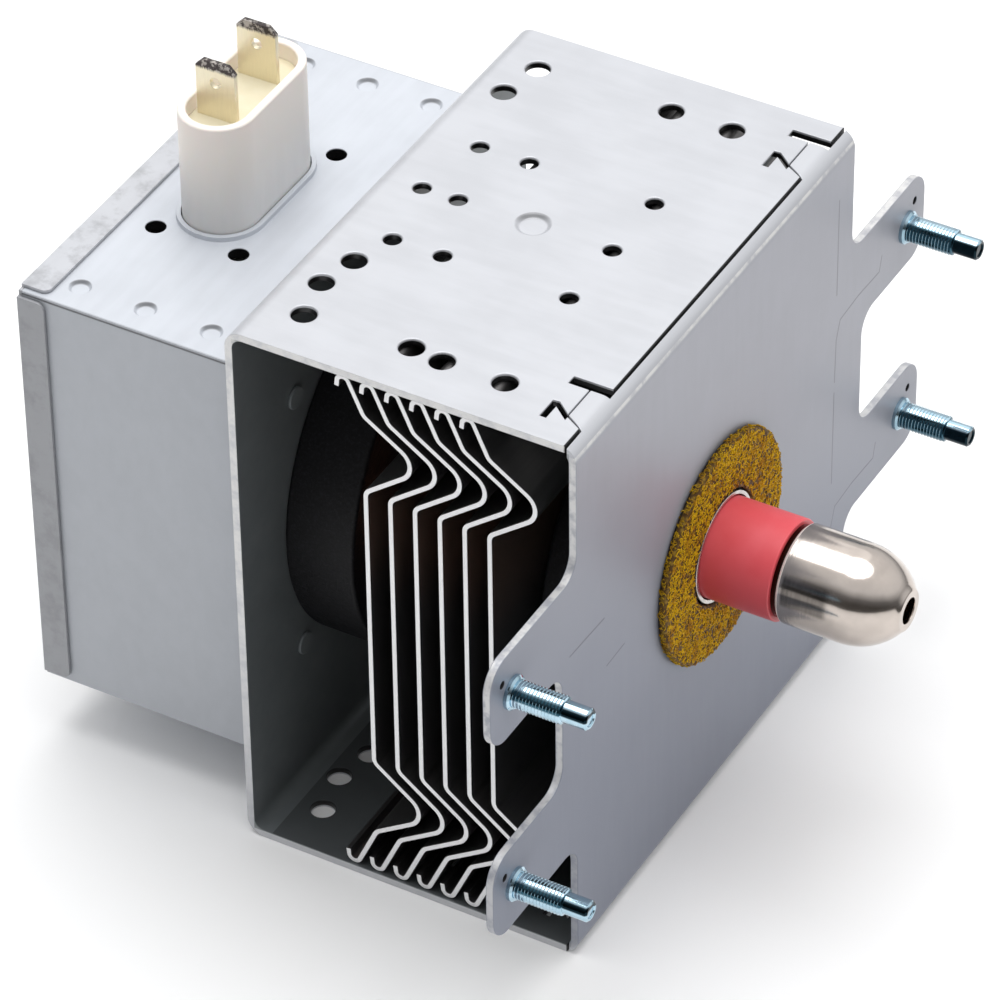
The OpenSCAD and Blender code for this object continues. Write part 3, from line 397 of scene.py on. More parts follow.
def shade_holes(f, half, back):
    """Painted shade on the walls of the holes and slots in the yoke's top and bottom, and along the front ends
    of its top and bottom at the seams.
    """
    height, inner = abs(f.z), half - SHEET
    dimple_x, dimple_y, dimple_d = DIMPLE
    off = distance(f.x - (back + dimple_x), f.y - dimple_y)
    wall = height.ramp(half - 0.28, half - 0.4).least(height.ramp(inner - 0.05, inner + 0.05))
    wall = wall.least(abs(f.y).ramp(YOKE_W / 2 - 0.1, YOKE_W / 2 - 0.25))
    wall = wall.least(f.x.ramp(BOX_FRONT + YOKE_CORNER, BOX_FRONT + YOKE_CORNER + 0.1))
    wall = wall.least(off.ramp(dimple_d / 2, dimple_d / 2 + 0.1))
    wall = wall.most(f.x.ramp(YOKE_EDGE - 0.22, YOKE_EDGE - 0.12))
    f.paint(wall, DARK_WALL)


def shade_dishes(f, spots):
    """Painted shade in the far half of the dents' walls, given as (x, y, radius) in millimetres."""
    far_wall_shade = None
    for x, y, radius in spots:
        off_x, off_y = (f.x - x) / radius, (f.y - y) / radius
        out = distance(off_x, off_y)
        far = (off_y * FAR_Y + off_x * FAR_X).ramp(0.1, 0.85)
        crescent = far * out.window(0.6, 0.8, 0.95, 1.05)
        far_wall_shade = crescent if far_wall_shade is None else far_wall_shade.most(crescent)
    f.paint(far_wall_shade * 0.75, (0.13, 0.13, 0.135))


def bright_edges(f, edge):
    """Bare steel on the sheared edges, painted lighter as a highlight, and brightest in the upper half as
    painted light.
    """
    shear = f.noise(0.5, 3.0, 0.6)
    # Painted light: the edges are lightened most in the upper half and least low down, where shade falls
    worn = shear.ramp(0.3, 0.62, 0.15, 0.7) * f.z.ramp(-45.0, 10.0, 0.25, 1.0)
    f.paint(edge * worn, (0.80, 0.79, 0.765))


def shade_pips(f, wall):
    """Painted shade on the walls of the pip holes in the ears."""
    off_y, (off_upper, off_lower) = abs(f.y) - PIP_Y, (f.z - z for z in PIP_Z)
    off = (off_y * off_y + (off_upper * off_upper).least(off_lower * off_lower)) ** 0.5
    f.paint(off.ramp(PIP_R + 0.15, PIP_R + 0.05) * wall, (0.02, 0.02, 0.021))


def nearest_line(f, height, lines):
    """Distance to the nearest of some (y, z) paths in millimetres, at a height."""
    nearest = None
    for path in lines:
        for (y0, z0), (y1, z1) in zip(path, path[1:]):
            run_y, run_z = y1 - y0, z1 - z0
            off_y, off_z = f.y - y0, height - z0
            share = ((off_y * run_y + off_z * run_z) / (run_y ** 2 + run_z ** 2)).most(0.0).least(1.0)
            gap = distance(off_y - share * run_y, off_z - share * run_z)
            nearest = gap if nearest is None else nearest.least(gap)
    return nearest


def scribe(f):
    """Thin lines pressed into the front plate beside the ears, darkened in colour as painted shade in the
    creases.
    """
    lower = f.z.maths("LESS_THAN", f.z, LINE_BREAK)
    gap = nearest_line(f, f.z + lower * STUD_RISE, EAR_LINES).least(nearest_line(f, f.z, NEAR_LINES))
    line = gap.ramp(LINE_WIDTH, 0.0) * f.x.ramp(-0.2, -0.05)
    f.paint(line * 0.55, (0.10, 0.10, 0.11))
    f.feed(Normal=f.bump(f.height * GRAIN - line * LINE_DEPTH, 1.0))


def seam(f):
    """Dark seam under the top edge of the box's two sides."""
    line = abs(f.z - (BOX_TOP - 0.45)).ramp(0.24, 0.06)
    line = line * abs(f.y).ramp(BOX_W / 2 - 0.12, BOX_W / 2 - 0.03)
    f.paint(line * 0.8, (0.07, 0.07, 0.075))
    f.feed(Normal=f.bump(f.height * GRAIN - line * 0.08, 1.0))


def shade_sides(f, half, amount, colour):
    """Painted shade: zinc that is darker on the two sides than on top."""
    f.paint(abs(f.y).ramp(half - 0.3, half - 0.1) * amount, colour)


def shade_eyelets(f):
    """Painted shade on the walls of the eyelet holes beside the connector, down through the ground plate."""
    foot = BOX_TOP - EYELET_DEPTH
    wall = f.z.ramp(BOX_TOP - 0.12, BOX_TOP - 0.2).least(f.z.ramp(foot, foot + 0.1))
    f.paint(wall.least(abs(f.y).ramp(EYELETS_Y, EYELETS_Y - 0.2)), DARK_WALL)


def smudge(f):
    """Grey handling marks."""
    marks = f.noise(0.3, 5.0, 0.65)
    f.paint(marks.ramp(0.44, 0.72) * 0.4, (0.17, 0.17, 0.175))


def black_ferrite(colour):
    f = Finish("black_ferrite", Metallic=0.0, Specular_IOR_Level=0.2)
    grain = f.noise(2.6, 5.0, 0.65)
    speck = f.cells(1.1).ramp(0.0, 0.55)
    return f.feed(
        Base_Color=f.mix(grain.ramp(0.45, 0.72), colour, tint(colour, 3.2)),
        Roughness=0.52 + (grain - 0.5) * 0.3,
        Normal=f.bump(grain * 0.7 + speck * 0.3, 0.09))


def rolled_aluminium(colour, half_width):
    """Aluminium with fine rolling lines and whiter sheared ends, and a painted brown reflection of the copper
    on the upper part of its faces.
    """
    f = Finish("rolled_aluminium")
    lines = f.noise(0.8, 3.0, 0.6, (1.0, 0.05, 6.0))
    cut = abs(f.y).ramp(half_width - 0.06, half_width - 0.02)
    shear = f.noise(3.0, 3.0, 0.6)
    # Painted reflection of the copper: a brown tint on the faces' upper part
    copper_glint = f.z.window(4.0, 18.0, 23.0, 25.0)
    face = f.mix(copper_glint * 0.7, f.mix(lines, tint(colour, 0.85), tint(colour, 1.15)), (0.40, 0.25, 0.18))
    return f.feed(
        Base_Color=f.mix(cut, face, f.mix(shear, (0.84, 0.84, 0.85), (0.95, 0.95, 0.95))),
        Metallic=0.92 - cut * 0.6,
        Roughness=0.3 + lines * 0.14 + cut * 0.16,
        Normal=f.bump(lines, 0.012))


def turned_copper(colour):
    f = Finish("turned_copper", Metallic=0.95)
    rings = f.noise(1.2, 3.0, 0.6, (9.0, 0.3, 0.3))
    stain = f.noise(0.25, 4.0, 0.6)
    return f.feed(
        Base_Color=f.mix(stain.ramp(0.35, 0.7), colour, tint(colour, 0.45)),
        Roughness=0.28 + stain * 0.25,
        Normal=f.bump(rings, 0.015))


def plain_metal(name, colour, roughness):
    """Worked metal of an inner piece, with stains and tool grain."""
    f = Finish(name, Metallic=0.9)
    stain = f.noise(0.4, 4.0, 0.6)
    grain = f.noise(5.0, 2.0, 0.6)
    return f.feed(
        Base_Color=f.mix(stain.ramp(0.3, 0.7), tint(colour, 1.1), tint(colour, 0.75)),
        Roughness=roughness + (stain - 0.5) * 0.2,
        Normal=f.bump(grain, 0.01))


def glazed_pink(colour):
    """Pink ceramic: fine pores and slight clouds, painted paler on top as a highlight and darker below as
    shade.
    """
    f = Finish("glazed_pink", Metallic=0.0, Specular_IOR_Level=0.45)
    clouds = f.noise(0.22, 3.0, 0.5)
    pores = f.noise(7.0, 2.0, 0.6)
    return f.feed(
        Base_Color=f.mix(
            f.z.ramp(-4.0, 8.0), tint(colour, 0.7),
            f.mix(clouds.ramp(0.3, 0.7), (0.82, 0.095, 0.115), (0.86, 0.12, 0.145))),
        Roughness=0.4 + (pores - 0.5) * 0.2,
        Normal=f.bump(pores * 0.6 + clouds * 0.4, 0.02))


def drawn_cap(colour, foot):
    """Bright drawn metal with faint tool rings, a painted dark reflection band, and at its foot a groove
    painted dark as shade and a pale lip painted as a bevel's highlight.
    """
    f = Finish("drawn_cap")
    rings = f.noise(0.6, 4.0, 0.65, (5.0, 0.2, 0.2))
    smear = f.noise(0.3, 3.0, 0.5)
    groove, lip_end = foot + CAP_GROOVE, foot + CAP_LIP
    start, end = (foot + x for x in CAP_BAND)
    # Painted highlight: the pale lip stands for a bright bevel
    lip = f.x.window(groove - 0.06, groove, lip_end - 0.08, lip_end)
    # Painted reflection: a dark band along the cap's upper side
    band = f.z.window(-0.6, 0.4, 3.6, 4.6) * f.x.window(start, start + 0.5, end - 1.4, end)
    drawn = f.mix(smear.ramp(0.3, 0.7), tint(colour, 0.92), tint(colour, 1.06))
    drawn = f.mix(band * (0.6 + rings * 0.4), drawn, tint(colour, 0.18))
    drawn = f.mix(lip, drawn, (0.92, 0.89, 0.85))
    # Painted shade: near black at the foot, up to the groove's end
    return f.feed(
        Base_Color=f.mix(f.x.ramp(groove - 0.12, groove), (0.035, 0.022, 0.014), drawn),
        Metallic=1.0 - lip * 0.8,
        Roughness=0.08 + smear * 0.06 + rings * 0.05 + lip * 0.3,
        Normal=f.bump(rings, 0.006))


def blue_zinc(colour, middle, pitch_y, pitch_z):
    """Milky blue zinc on two rows of studs, with a painted dark reflection band along each, paler on the
    thread's crest as a painted highlight.
    """
    f = Finish("blue_zinc", Metallic=0.95)
    clouds = f.noise(0.6, 3.0, 0.5)
    grain = f.noise(8.0, 2.0, 0.5)
    row = f.z.maths("GREATER_THAN", f.z, middle) * pitch_z - pitch_z / 2
    point = f.x.ramp(STUD_THREAD_END, STUD_THREAD_END + 0.1)
    # On the point, heights are scaled up to the thread's radius
    above = (f.z - middle - row) * (1.0 + point * (STUD_THREAD_R / STUD_POINT_R - 1.0))
    # Painted reflection: a dark band along each stud, and on the far studs' lower side too
    band = above.ramp(1.75, 1.45) * above.ramp(0.2, 0.5).most(f.y.ramp(-10.0, 10.0))
    ridge = distance(above, abs(f.y) - pitch_y / 2)
    band = band * ridge.ramp(STUD_THREAD_R - 0.06, STUD_THREAD_R - 0.01, 1.0, 0.35)
    milky = f.mix(clouds.ramp(0.35, 0.85), (0.42, 0.60, 0.71), (0.56, 0.72, 0.82))
    return f.feed(
        Base_Color=f.mix(band, milky, f.mix(point, tint(colour, 0.26), tint(colour, 0.05))),
        Roughness=0.07 + clouds * 0.07,
        Normal=f.bump(grain, 0.006))


def golden_wire(colour, rim):
    """Knitted golden wire, browner in patches, and darkened at the ring's rim as painted shade."""
    f = Finish("golden_wire", Metallic=0.2, Specular_IOR_Level=0.15)
    patches = f.noise(0.45, 3.0, 0.6)
    fine = f.noise(1.6, 3.0, 0.6)
    warm = f.mix(patches.ramp(0.42, 0.72), colour, (0.46, 0.21, 0.012))
    warm = f.mix(fine.ramp(0.56, 0.74), warm, (0.20, 0.085, 0.012))
    # Painted shade: the wire darkens towards the ring's rim
    return f.feed(
        Base_Color=f.mix(distance(f.y, f.z).ramp(rim - 0.35, rim - 0.1) * 0.3, warm, (0.05, 0.028, 0.008)),
        Roughness=0.38 + fine * 0.15,
        Normal=f.bump(fine, 0.01))


def gasket_shade():
    """Painted shade: the dark inside of the knitted gasket, darkest at its foot against the plate."""
    f = Finish("gasket_shade", Metallic=0.3)
    weave = f.cells(1.4)
    return f.feed(
        Base_Color=f.mix(
            f.x.ramp(0.25, 0.5), (0.02, 0.012, 0.004),
            f.mix(weave.ramp(0.15, 0.6), (0.26, 0.15, 0.008), (0.09, 0.042, 0.005))),
        Roughness=0.6 + weave * 0.2,
        Normal=f.bump(weave, 0.12))


def cream_plastic(colour, foot, top):
    """Moulded cream plastic, painted greyer towards its foot as shade."""
    f = Finish(
        "cream_plastic", Metallic=0.0, Specular_IOR_Level=0.4, Subsurface_Weight=0.12, Subsurface_Scale=0.002)
    moulding = f.noise(0.5, 3.0, 0.5, (1.0, 1.0, 0.25))
    grain = f.noise(4.0, 3.0, 0.6)
    lower = f.mix(moulding, (0.66, 0.65, 0.64), (0.74, 0.73, 0.715))
    return f.feed(
        Base_Color=f.mix(f.z.ramp(foot, top), lower, colour),
        Roughness=0.45 + (grain - 0.5) * 0.2,
        Normal=f.bump(grain * 0.5 + moulding * 0.5, 0.02))


def tinned_blade(colour, top):
    """Tinned brass blade with darker dressed ends."""
    f = Finish("tinned_blade", Metallic=0.75)
    brush = f.noise(1.0, 4.0, 0.65, (4.0, 4.0, 0.35))
    worn = (f.z + brush * 0.9).ramp(top - 1.2, top - 0.6)
    burr = f.noise(1.5, 3.0, 0.6).ramp(0.45, 0.62)
    return f.feed(
        Base_Color=f.mix(
            worn, f.mix(brush, tint(colour, 0.92), tint(colour, 1.08)),
            f.mix(burr, (0.06, 0.05, 0.05), (0.42, 0.39, 0.36))),
        Roughness=0.3 + brush * 0.15 + worn * 0.1,
        Normal=f.bump(brush, 0.015))


def clouded(name, noise, colours, roughness, depth, **constants):
    """A finish of one noise, which goes between two colours and two roughnesses."""
    f = Finish(name, **constants)
    clouds = f.noise(*noise)
    return f.feed(
        Base_Color=f.mix(clouds, *colours),
        Roughness=roughness[0] + clouds * (roughness[1] - roughness[0]),
        Normal=f.bump(clouds, depth))


# Making pieces


def need(node):
    """A CAD node's object."""
    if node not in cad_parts:
        raise RuntimeError(f"the frame has no node named {node}")
    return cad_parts[node]


def merged(node):
    """A node's triangles joined into whole flat faces."""
    bm = bmesh.new()
    bm.from_mesh(need(node).data)
    bmesh.ops.remove_doubles(bm, verts=bm.verts, dist=MERGE)
    bmesh.ops.dissolve_limit(bm, angle_limit=FLAT, verts=bm.verts, edges=bm.edges)
    return bm


def mesh_from(bm, name):
    mesh = bpy.data.meshes.new(name)
    bm.to_mesh(mesh)
    bm.free()
    return mesh


def linked(name, data):
    made = bpy.data.objects.new(name, data)
    bpy.context.scene.collection.objects.link(made)
    return made


def coated(mesh, material):
    mesh.materials.clear()
    mesh.materials.append(material)


def placed(name, mesh, material, slot, *nodes):
    """Puts in a finished piece that stands for its nodes."""
    piece = linked(name, mesh)
    if material is not None:
        coated(mesh, material)
    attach(piece, BODY)
    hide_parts(*nodes)


def modified(mesh, kind, settings, inputs):
    """The mesh that a modifier makes of another, which is removed."""
    holder = linked("holder", mesh)
    modifier = holder.modifiers.new("modifier", kind)
    for name, value in settings.items():
        setattr(modifier, name, value)
    for identifier, value in inputs.items():
        modifier[identifier] = value
    made = bpy.data.meshes.new_from_object(holder.evaluated_get(bpy.context.evaluated_depsgraph_get()))
    bpy.data.objects.remove(holder)
    bpy.data.meshes.remove(mesh)
    return made


def shaded(mesh, angle=35.0):
    """Smooth faces with sharp corners, and normals that follow the large faces."""
    for face in mesh.polygons:
        face.use_smooth = True
    mesh.set_sharp_from_angle(angle=math.radians(angle))
    return modified(mesh, "WEIGHTED_NORMAL", {"keep_sharp": True}, {})


def is_corner(edge):
    return len(edge.link_faces) == 2 and edge.calc_face_angle(0.0) > CORNER


def bevel(bm, edges, offset, parts):
    bmesh.ops.bevel(
        bm, geom=edges, offset=offset, offset_type="OFFSET", segments=parts, profile=0.5,
        affect="EDGES", clamp_overlap=False, loop_slide=False)


def round_spots(bm, spots, edge):
    """Rounds the top edges of holes, given as (x, y, radius, height)."""
    rims = []
    for e in bm.edges:
        if is_corner(e):
            for x, y, radius, height in spots:
                if all(abs(math.hypot(v.co.x - x, v.co.y - y) - radius) < HOLE_SLACK
                       and abs(v.co.z - height) < FACE_SLACK for v in e.verts):
                    rims.append(e)
                    break
    if not rims:
        raise RuntimeError("no hole was found to round")
    bevel(bm, rims, edge, HOLE_PARTS)


def dish_spots(bm, spots, depth):
    """Turns flat dents into smooth dishes, given as (x, y, radius, height) on a top or bottom sheet."""
    for x, y, radius, height in spots:
        def out(v):
            return math.hypot(v.co.x - x, v.co.y - y)
        way = math.copysign(1.0, height)
        flat = [f for f in bm.faces if all(
            out(v) < radius + DENT_SLACK and abs(v.co.z - height) < DENT_REACH for v in f.verts)]
        if not flat:
            raise RuntimeError("no dent was found to round")
        bmesh.ops.delete(bm, geom=flat, context="FACES")
        rim = [v for v in bm.verts if abs(out(v) - radius) < DENT_SLACK and abs(v.co.z - height) < FACE_SLACK]
        rim.sort(key=lambda v: way * math.atan2(v.co.y - y, v.co.x - x))
        outer = rim
        for k in range(1, DISH_RINGS + 1):
            share = 1 - DISH_WALL * k / DISH_RINGS
            level = height - way * depth * (1 - math.cos(math.pi * k / DISH_RINGS)) / 2
            ring = [bm.verts.new((x + (v.co.x - x) * share, y + (v.co.y - y) * share, level)) for v in rim]
            for corners in zip(outer, outer[1:] + outer[:1], ring[1:] + ring[:1], ring):
                bm.faces.new(corners)
            outer = ring
        bm.faces.new(outer)


def dressed(node, name, material, slot, edge, parts=2, spots=(), spot_edge=0.0, dishes=(), depth=0.0):
    """Puts in a node's copy with rounded edges and smooth bends."""
    bm = merged(node)
    dish_spots(bm, dishes, depth)
    if spots:
        round_spots(bm, spots, spot_edge)
    sharp = [e for e in bm.edges if is_corner(e)]
    if not sharp:
        raise RuntimeError(f"{node} has no sharp edge to round")
    bevel(bm, sharp, edge, parts)
    placed(name, shaded(mesh_from(bm, name)), material, slot, node)


def refinished(material, *nodes):
    """Gives CAD nodes a finish of their own."""
    for node in nodes:
        coated(need(node).data, material)


def lathed(name, profile, steps):
    """A profile of (x, radius) turned round the X axis, with closed poles."""
    bm = bmesh.new()
    points = [bm.verts.new((x, 0.0, r)) for x, r in profile]
    edges = [bm.edges.new(pair) for pair in zip(points, points[1:])]
    bmesh.ops.spin(
        bm, geom=points + edges, axis=(1, 0, 0), cent=(0, 0, 0), steps=steps, angle=math.tau, use_merge=True)
    bmesh.ops.remove_doubles(bm, verts=bm.verts, dist=MERGE)
    bmesh.ops.recalc_face_normals(bm, faces=bm.faces)
    return mesh_from(bm, name)


def geometry_tree(name, inputs):
    """A Geometry Nodes tree with inputs named by kind. Gives its graph, its group input and its identifiers."""
    tree = bpy.data.node_groups.new(name, "GeometryNodeTree")
    tree.interface.new_socket("Geometry", in_out="INPUT", socket_type="NodeSocketGeometry")
    names = {}
    for kind, labels in inputs.items():
        for label in labels:
            socket = tree.interface.new_socket(label, in_out="INPUT", socket_type=kind)
            names[label] = socket.identifier
    tree.interface.new_socket("Geometry", in_out="OUTPUT", socket_type="NodeSocketGeometry")
    graph = Graph(tree)
    return graph, graph.node("NodeGroupInput"), names


def grown(mesh, graph, names, values):
    """The plain mesh that a tree makes of a mesh, with its inputs set by identifier."""
    inputs = {names[label]: value for label, value in values.items()}
    made = modified(mesh, "NODES", {"node_group": graph.tree}, inputs)
    if not made.polygons:
        raise RuntimeError(f"{graph.tree.name} made no faces")
    return made


# Stage, in metres

FLOOR_SIZE = 4.0
# Places and sizes of the lamps
TOP_LAMP = (-0.1, 0.1, 1.1), 1.0
BACK_LAMP = (-0.42, 0.74, 0.9), 0.9
# The surround's brightness along an axis, dark at the low front
SKY_AXIS = (0.0, 0.22, 0.8)
SKY_STOPS = [
    (0.0, (0.08, 0.077, 0.074)), (0.18, (0.18, 0.18, 0.184)),
    (0.42, (0.86, 0.87, 0.88)), (0.7, (1.0, 1.0, 1.0))]
# The camera's right, up and back axes, its place and its lens shift
CAMERA_AXES = (
    (0.871449, 0.490373, -0.010532), (-0.303332, 0.555681, 0.774085), (0.385443, -0.671381, 0.632993))
CAMERA_PLACE = (0.302961, -0.587370, 0.549373)
CAMERA_SHIFT = (-0.00136, -0.00607)


# Operators


def settings(context):
    return context.scene.magnetron_sizes, context.scene.magnetron_colours


class MAGNETRON_OT_yoke(bpy.types.Operator):
    """Rounds the edges of the yoke's two sheets and gives them their zinc"""

    bl_idname = "magnetron.yoke"
    bl_label = "Yoke sheets"

    def execute(self, context):
        sizes, colours = settings(context)
        rear = zinc_sheet("yoke_zinc", colours.yoke, 0.3, 0.38, (0.15, 1.0, 1.0), 0.35)
        low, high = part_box("rear_yoke")
        back, half = low.x / MM, YOKE_H / 2
        inner = half - SHEET
        between = abs(rear.z).ramp(inner + 0.1, inner + 0.02)
        shade_inside(rear, rear.x.ramp(back + SHEET - 0.1, back + SHEET - 0.02).least(between))
        shade_holes(rear, half, back)
        shade_dishes(rear, [(back + DIMPLE[0], DIMPLE[1], DIMPLE[2] / 2)])
        bright_edges(rear, abs(rear.y).ramp(YOKE_W / 2 - 0.06, YOKE_W / 2 - 0.02))

        def spot(x, y, d, height):
            return low.x + x * MM, y * MM, d / 2 * MM, height

        dressed("rear_yoke", "yoke_sheet", rear.material, "yoke_steel", sizes.sheet_edge,
                spots=[spot(*hole, high.z) for hole in PLATE_HOLES], spot_edge=sizes.hole_edge,
                dishes=[spot(*DIMPLE, high.z), spot(*DIMPLE, low.z)], depth=sizes.dish_depth)
        front = zinc_sheet("plate_zinc", colours.plate, 0.25, 0.46, (1.0, 1.0, 0.12), 0.3)
        # Painted shade: the front plate darkens low down on its near side
        shadow = tuple(part * share for part, share in zip(colours.plate, PLATE_SHADE))
        front.paint((front.z + front.y * 0.5).ramp(*PLATE_SHADE_Z), shadow)
        # Painted light: the bends at top and bottom take the yoke's lighter colour instead of the plate's
        # shaded one
        front.paint(abs(front.z).ramp(half - 2.4, half - 0.8), colours.yoke)
        inside = front.x.ramp(0.1 - SHEET, 0.02 - SHEET)
        inside = inside.least(abs(front.y).ramp(YOKE_W / 2 + 0.2, YOKE_W / 2 - 0.2))
        shade_inside(front, inside.least(abs(front.z).ramp(inner + 0.1, inner + 0.02)))
        rim = front.x.window(0.06 - SHEET, 0.18 - SHEET, -0.18, -0.06)
        bright_edges(front, rim * abs(front.z).ramp(half - 1.5, half - 1.6))
        shade_pips(front, front.x.ramp(-0.04, -0.1))
        scribe(front)
        dressed("front_plate", "front_sheet", front.material, "plate_steel", sizes.sheet_edge)
        return {"FINISHED"}


class MAGNETRON_OT_studs(bpy.types.Operator):
    """Makes the four threaded studs on the ears"""

    bl_idname = "magnetron.studs"
    bl_label = "Studs"

    def execute(self, context):
        sizes, colours = settings(context)
        low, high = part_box("mounting_studs")
        head, shank, collar, thread, point = (r * MM for r in (
            STUD_HEAD_R, STUD_SHANK_R, STUD_COLLAR_R, STUD_THREAD_R, STUD_POINT_R))
        ease, chamfer, tip_dish = STUD_EASE * MM, STUD_CHAMFER * MM, STUD_TIP_DISH * MM
        thread_start, thread_end, tip = STUD_COLLAR * MM, STUD_THREAD_END * MM, high.x
        sheet_back = low.x + STUD_HEAD * MM
        root = thread - sizes.thread_depth
        pitch_y = high.y - low.y - 2 * head
        pitch_z = high.z - low.z - 2 * head
        core = lathed("stud", [
            (low.x, 0.0), (low.x, head - ease), (low.x + ease, head), (sheet_back, head),
            (sheet_back, shank), (0.0, shank),
            (0.0, collar), (thread_start - 2 * ease, collar), (thread_start, collar - 2 * ease),
            (thread_start, root), (thread_end - ease, root), (thread_end, point),
            (tip - chamfer, point), (tip, point - chamfer), (tip, point - 2 * chamfer),
            (tip - tip_dish, point - 2 * chamfer - ease), (tip - tip_dish, 0.0)], STUD_STEPS)
        graph, given, names = geometry_tree("stud_threads", {
            "NodeSocketFloat": ("Root radius", "Depth", "Pitch", "Start", "End", "Pitch Y", "Pitch Z"),
            "NodeSocketMaterial": ("Finish",)})
        depth, pitch = given["Depth"], given["Pitch"]
        start, end = given["Start"], given["End"]
        spiral = graph.node("GeometryNodeCurveSpiral", {
            "Resolution": THREAD_STEPS, "Rotations": (end - start) / pitch, "Height": end - start,
            "Start Radius": given["Root radius"], "End Radius": given["Root radius"]})
        upright = graph.node("GeometryNodeSetCurveNormal", {"Curve": spiral}, mode="Z_UP")
        ridge = graph.node("GeometryNodeCurvePrimitiveCircle", {"Resolution": 4, "Radius": depth})
        thread_mesh = graph.node("GeometryNodeCurveToMesh", {
            "Curve": upright, "Profile Curve": ridge, "Fill Caps": True})
        along = graph.node("GeometryNodeTransform", {
            "Geometry": thread_mesh, "Rotation": (0.0, math.pi / 2, 0.0),
            "Translation": graph.node("ShaderNodeCombineXYZ", {"X": start})})
        one = graph.node("GeometryNodeJoinGeometry", {"Geometry": given})
        graph.tree.links.new(along.output, one.output.node.inputs["Geometry"])
        corners = graph.node("GeometryNodeMeshGrid", {
            "Size X": given["Pitch Z"], "Size Y": given["Pitch Y"], "Vertices X": 2, "Vertices Y": 2})
        standing = graph.node("GeometryNodeTransform", {
            "Geometry": corners, "Rotation": (0.0, math.pi / 2, 0.0)})
        copies = graph.node("GeometryNodeInstanceOnPoints", {"Points": standing, "Instance": one})
        real = graph.node("GeometryNodeRealizeInstances", {"Geometry": copies})
        finished = graph.node("GeometryNodeSetMaterial", {"Geometry": real, "Material": given["Finish"]})
        graph.node("NodeGroupOutput", {"Geometry": finished})
        material = blue_zinc(colours.studs, (low.z + high.z) / 2 / MM, pitch_y / MM, pitch_z / MM)
        mesh = grown(core, graph, names, {
            "Root radius": root, "Depth": sizes.thread_depth, "Pitch": sizes.thread_pitch,
            "Start": thread_start, "End": thread_end - STUD_RUNOUT * MM,
            "Pitch Y": pitch_y, "Pitch Z": pitch_z, "Finish": material})
        placed("threaded_studs", shaded(mesh, angle=40.0), material, "stud_zinc", "mounting_studs")
        return {"FINISHED"}


class MAGNETRON_OT_gasket(bpy.types.Operator):
    """Knits the golden gasket round the antenna"""

    bl_idname = "magnetron.gasket"
    bl_label = "Knitted gasket"

    def execute(self, context):
        sizes, colours = settings(context)
        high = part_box("rf_gasket")[1]
        core = mesh_from(merged("rf_gasket"), "gasket_pad")
        graph, given, names = geometry_tree("knitted_ring", {
            "NodeSocketFloat": ("Wire radius", "Stitch radius", "Density", "Inner", "Outer", "Rim"),
            "NodeSocketInt": ("Seed",), "NodeSocketMaterial": ("Wire finish", "Pad finish")})
        spot = graph.node("GeometryNodeInputPosition")
        part = graph.node("ShaderNodeSeparateXYZ", {"Vector": spot})
        points = graph.node("GeometryNodeDistributePointsOnFaces", {
            "Mesh": given, "Density": given["Density"], "Seed": given["Seed"]},
            distribute_method="RANDOM")
        facing = graph.node("ShaderNodeSeparateXYZ", {"Vector": points["Normal"]})
        radius = distance(part["Y"], part["Z"])
        top = facing.maths("GREATER_THAN", facing, 0.5)
        outside = radius.maths("GREATER_THAN", radius, given["Outer"])
        inside = radius.maths("LESS_THAN", radius, given["Inner"])
        rim = radius.maths("GREATER_THAN", radius, given["Rim"])
        rim = rim * facing.maths("COMPARE", facing, 0.0, 0.3)
        kept = graph.node("GeometryNodeDeleteGeometry", {
            "Geometry": points, "Selection": 1.0 - top * (1.0 - outside) * (1.0 - inside) - rim},
            domain="POINT")
        bend = graph.node("GeometryNodeCurveArc", {
            "Resolution": 5, "Radius": given["Stitch radius"], "Sweep Angle": STITCH_ARC}, mode="RADIUS")
        wire = graph.node("GeometryNodeCurvePrimitiveCircle", {
            "Resolution": 4, "Radius": given["Wire radius"]})
        stitch = graph.node("GeometryNodeCurveToMesh", {"Curve": bend, "Profile Curve": wire})
        turn = graph.node("FunctionNodeRandomValue", {
            "Min": (-STITCH_TILT, -STITCH_TILT, 0.0), "Max": (STITCH_TILT, STITCH_TILT, math.tau),
            "Seed": given["Seed"]}, data_type="FLOAT_VECTOR")
        turned = graph.node("FunctionNodeRotateRotation", {
            "Rotation": points["Rotation"],
            "Rotate By": graph.node("FunctionNodeEulerToRotation", {0: turn})}, rotation_space="LOCAL")
        copies = graph.node("GeometryNodeInstanceOnPoints", {
            "Points": kept, "Instance": stitch, "Rotation": turned})
        knit = graph.node("GeometryNodeSetMaterial", {
            "Geometry": graph.node("GeometryNodeRealizeInstances", {"Geometry": copies}),
            "Material": given["Wire finish"]})
        pad = graph.node("GeometryNodeSetMaterial", {"Geometry": given, "Material": given["Pad finish"]})
        both = graph.node("GeometryNodeJoinGeometry", {"Geometry": knit})
        graph.tree.links.new(pad.output, both.output.node.inputs["Geometry"])
        graph.node("NodeGroupOutput", {"Geometry": both})
        slack = STITCH_SLACK * MM
        outer = high.y - sizes.stitch_radius - slack
        inner = GASKET_BORE / 2 * MM + sizes.stitch_radius + slack
        mesh = grown(core, graph, names, {
            "Wire radius": sizes.wire_radius, "Stitch radius": sizes.stitch_radius,
            "Density": sizes.stitch_density, "Inner": inner, "Outer": outer,
            "Rim": high.y - slack, "Seed": sizes.stitch_seed,
            "Wire finish": golden_wire(colours.gasket, high.y / MM), "Pad finish": gasket_shade()})
        placed("knitted_gasket", mesh, None, "gasket_mesh", "rf_gasket")
        return {"FINISHED"}


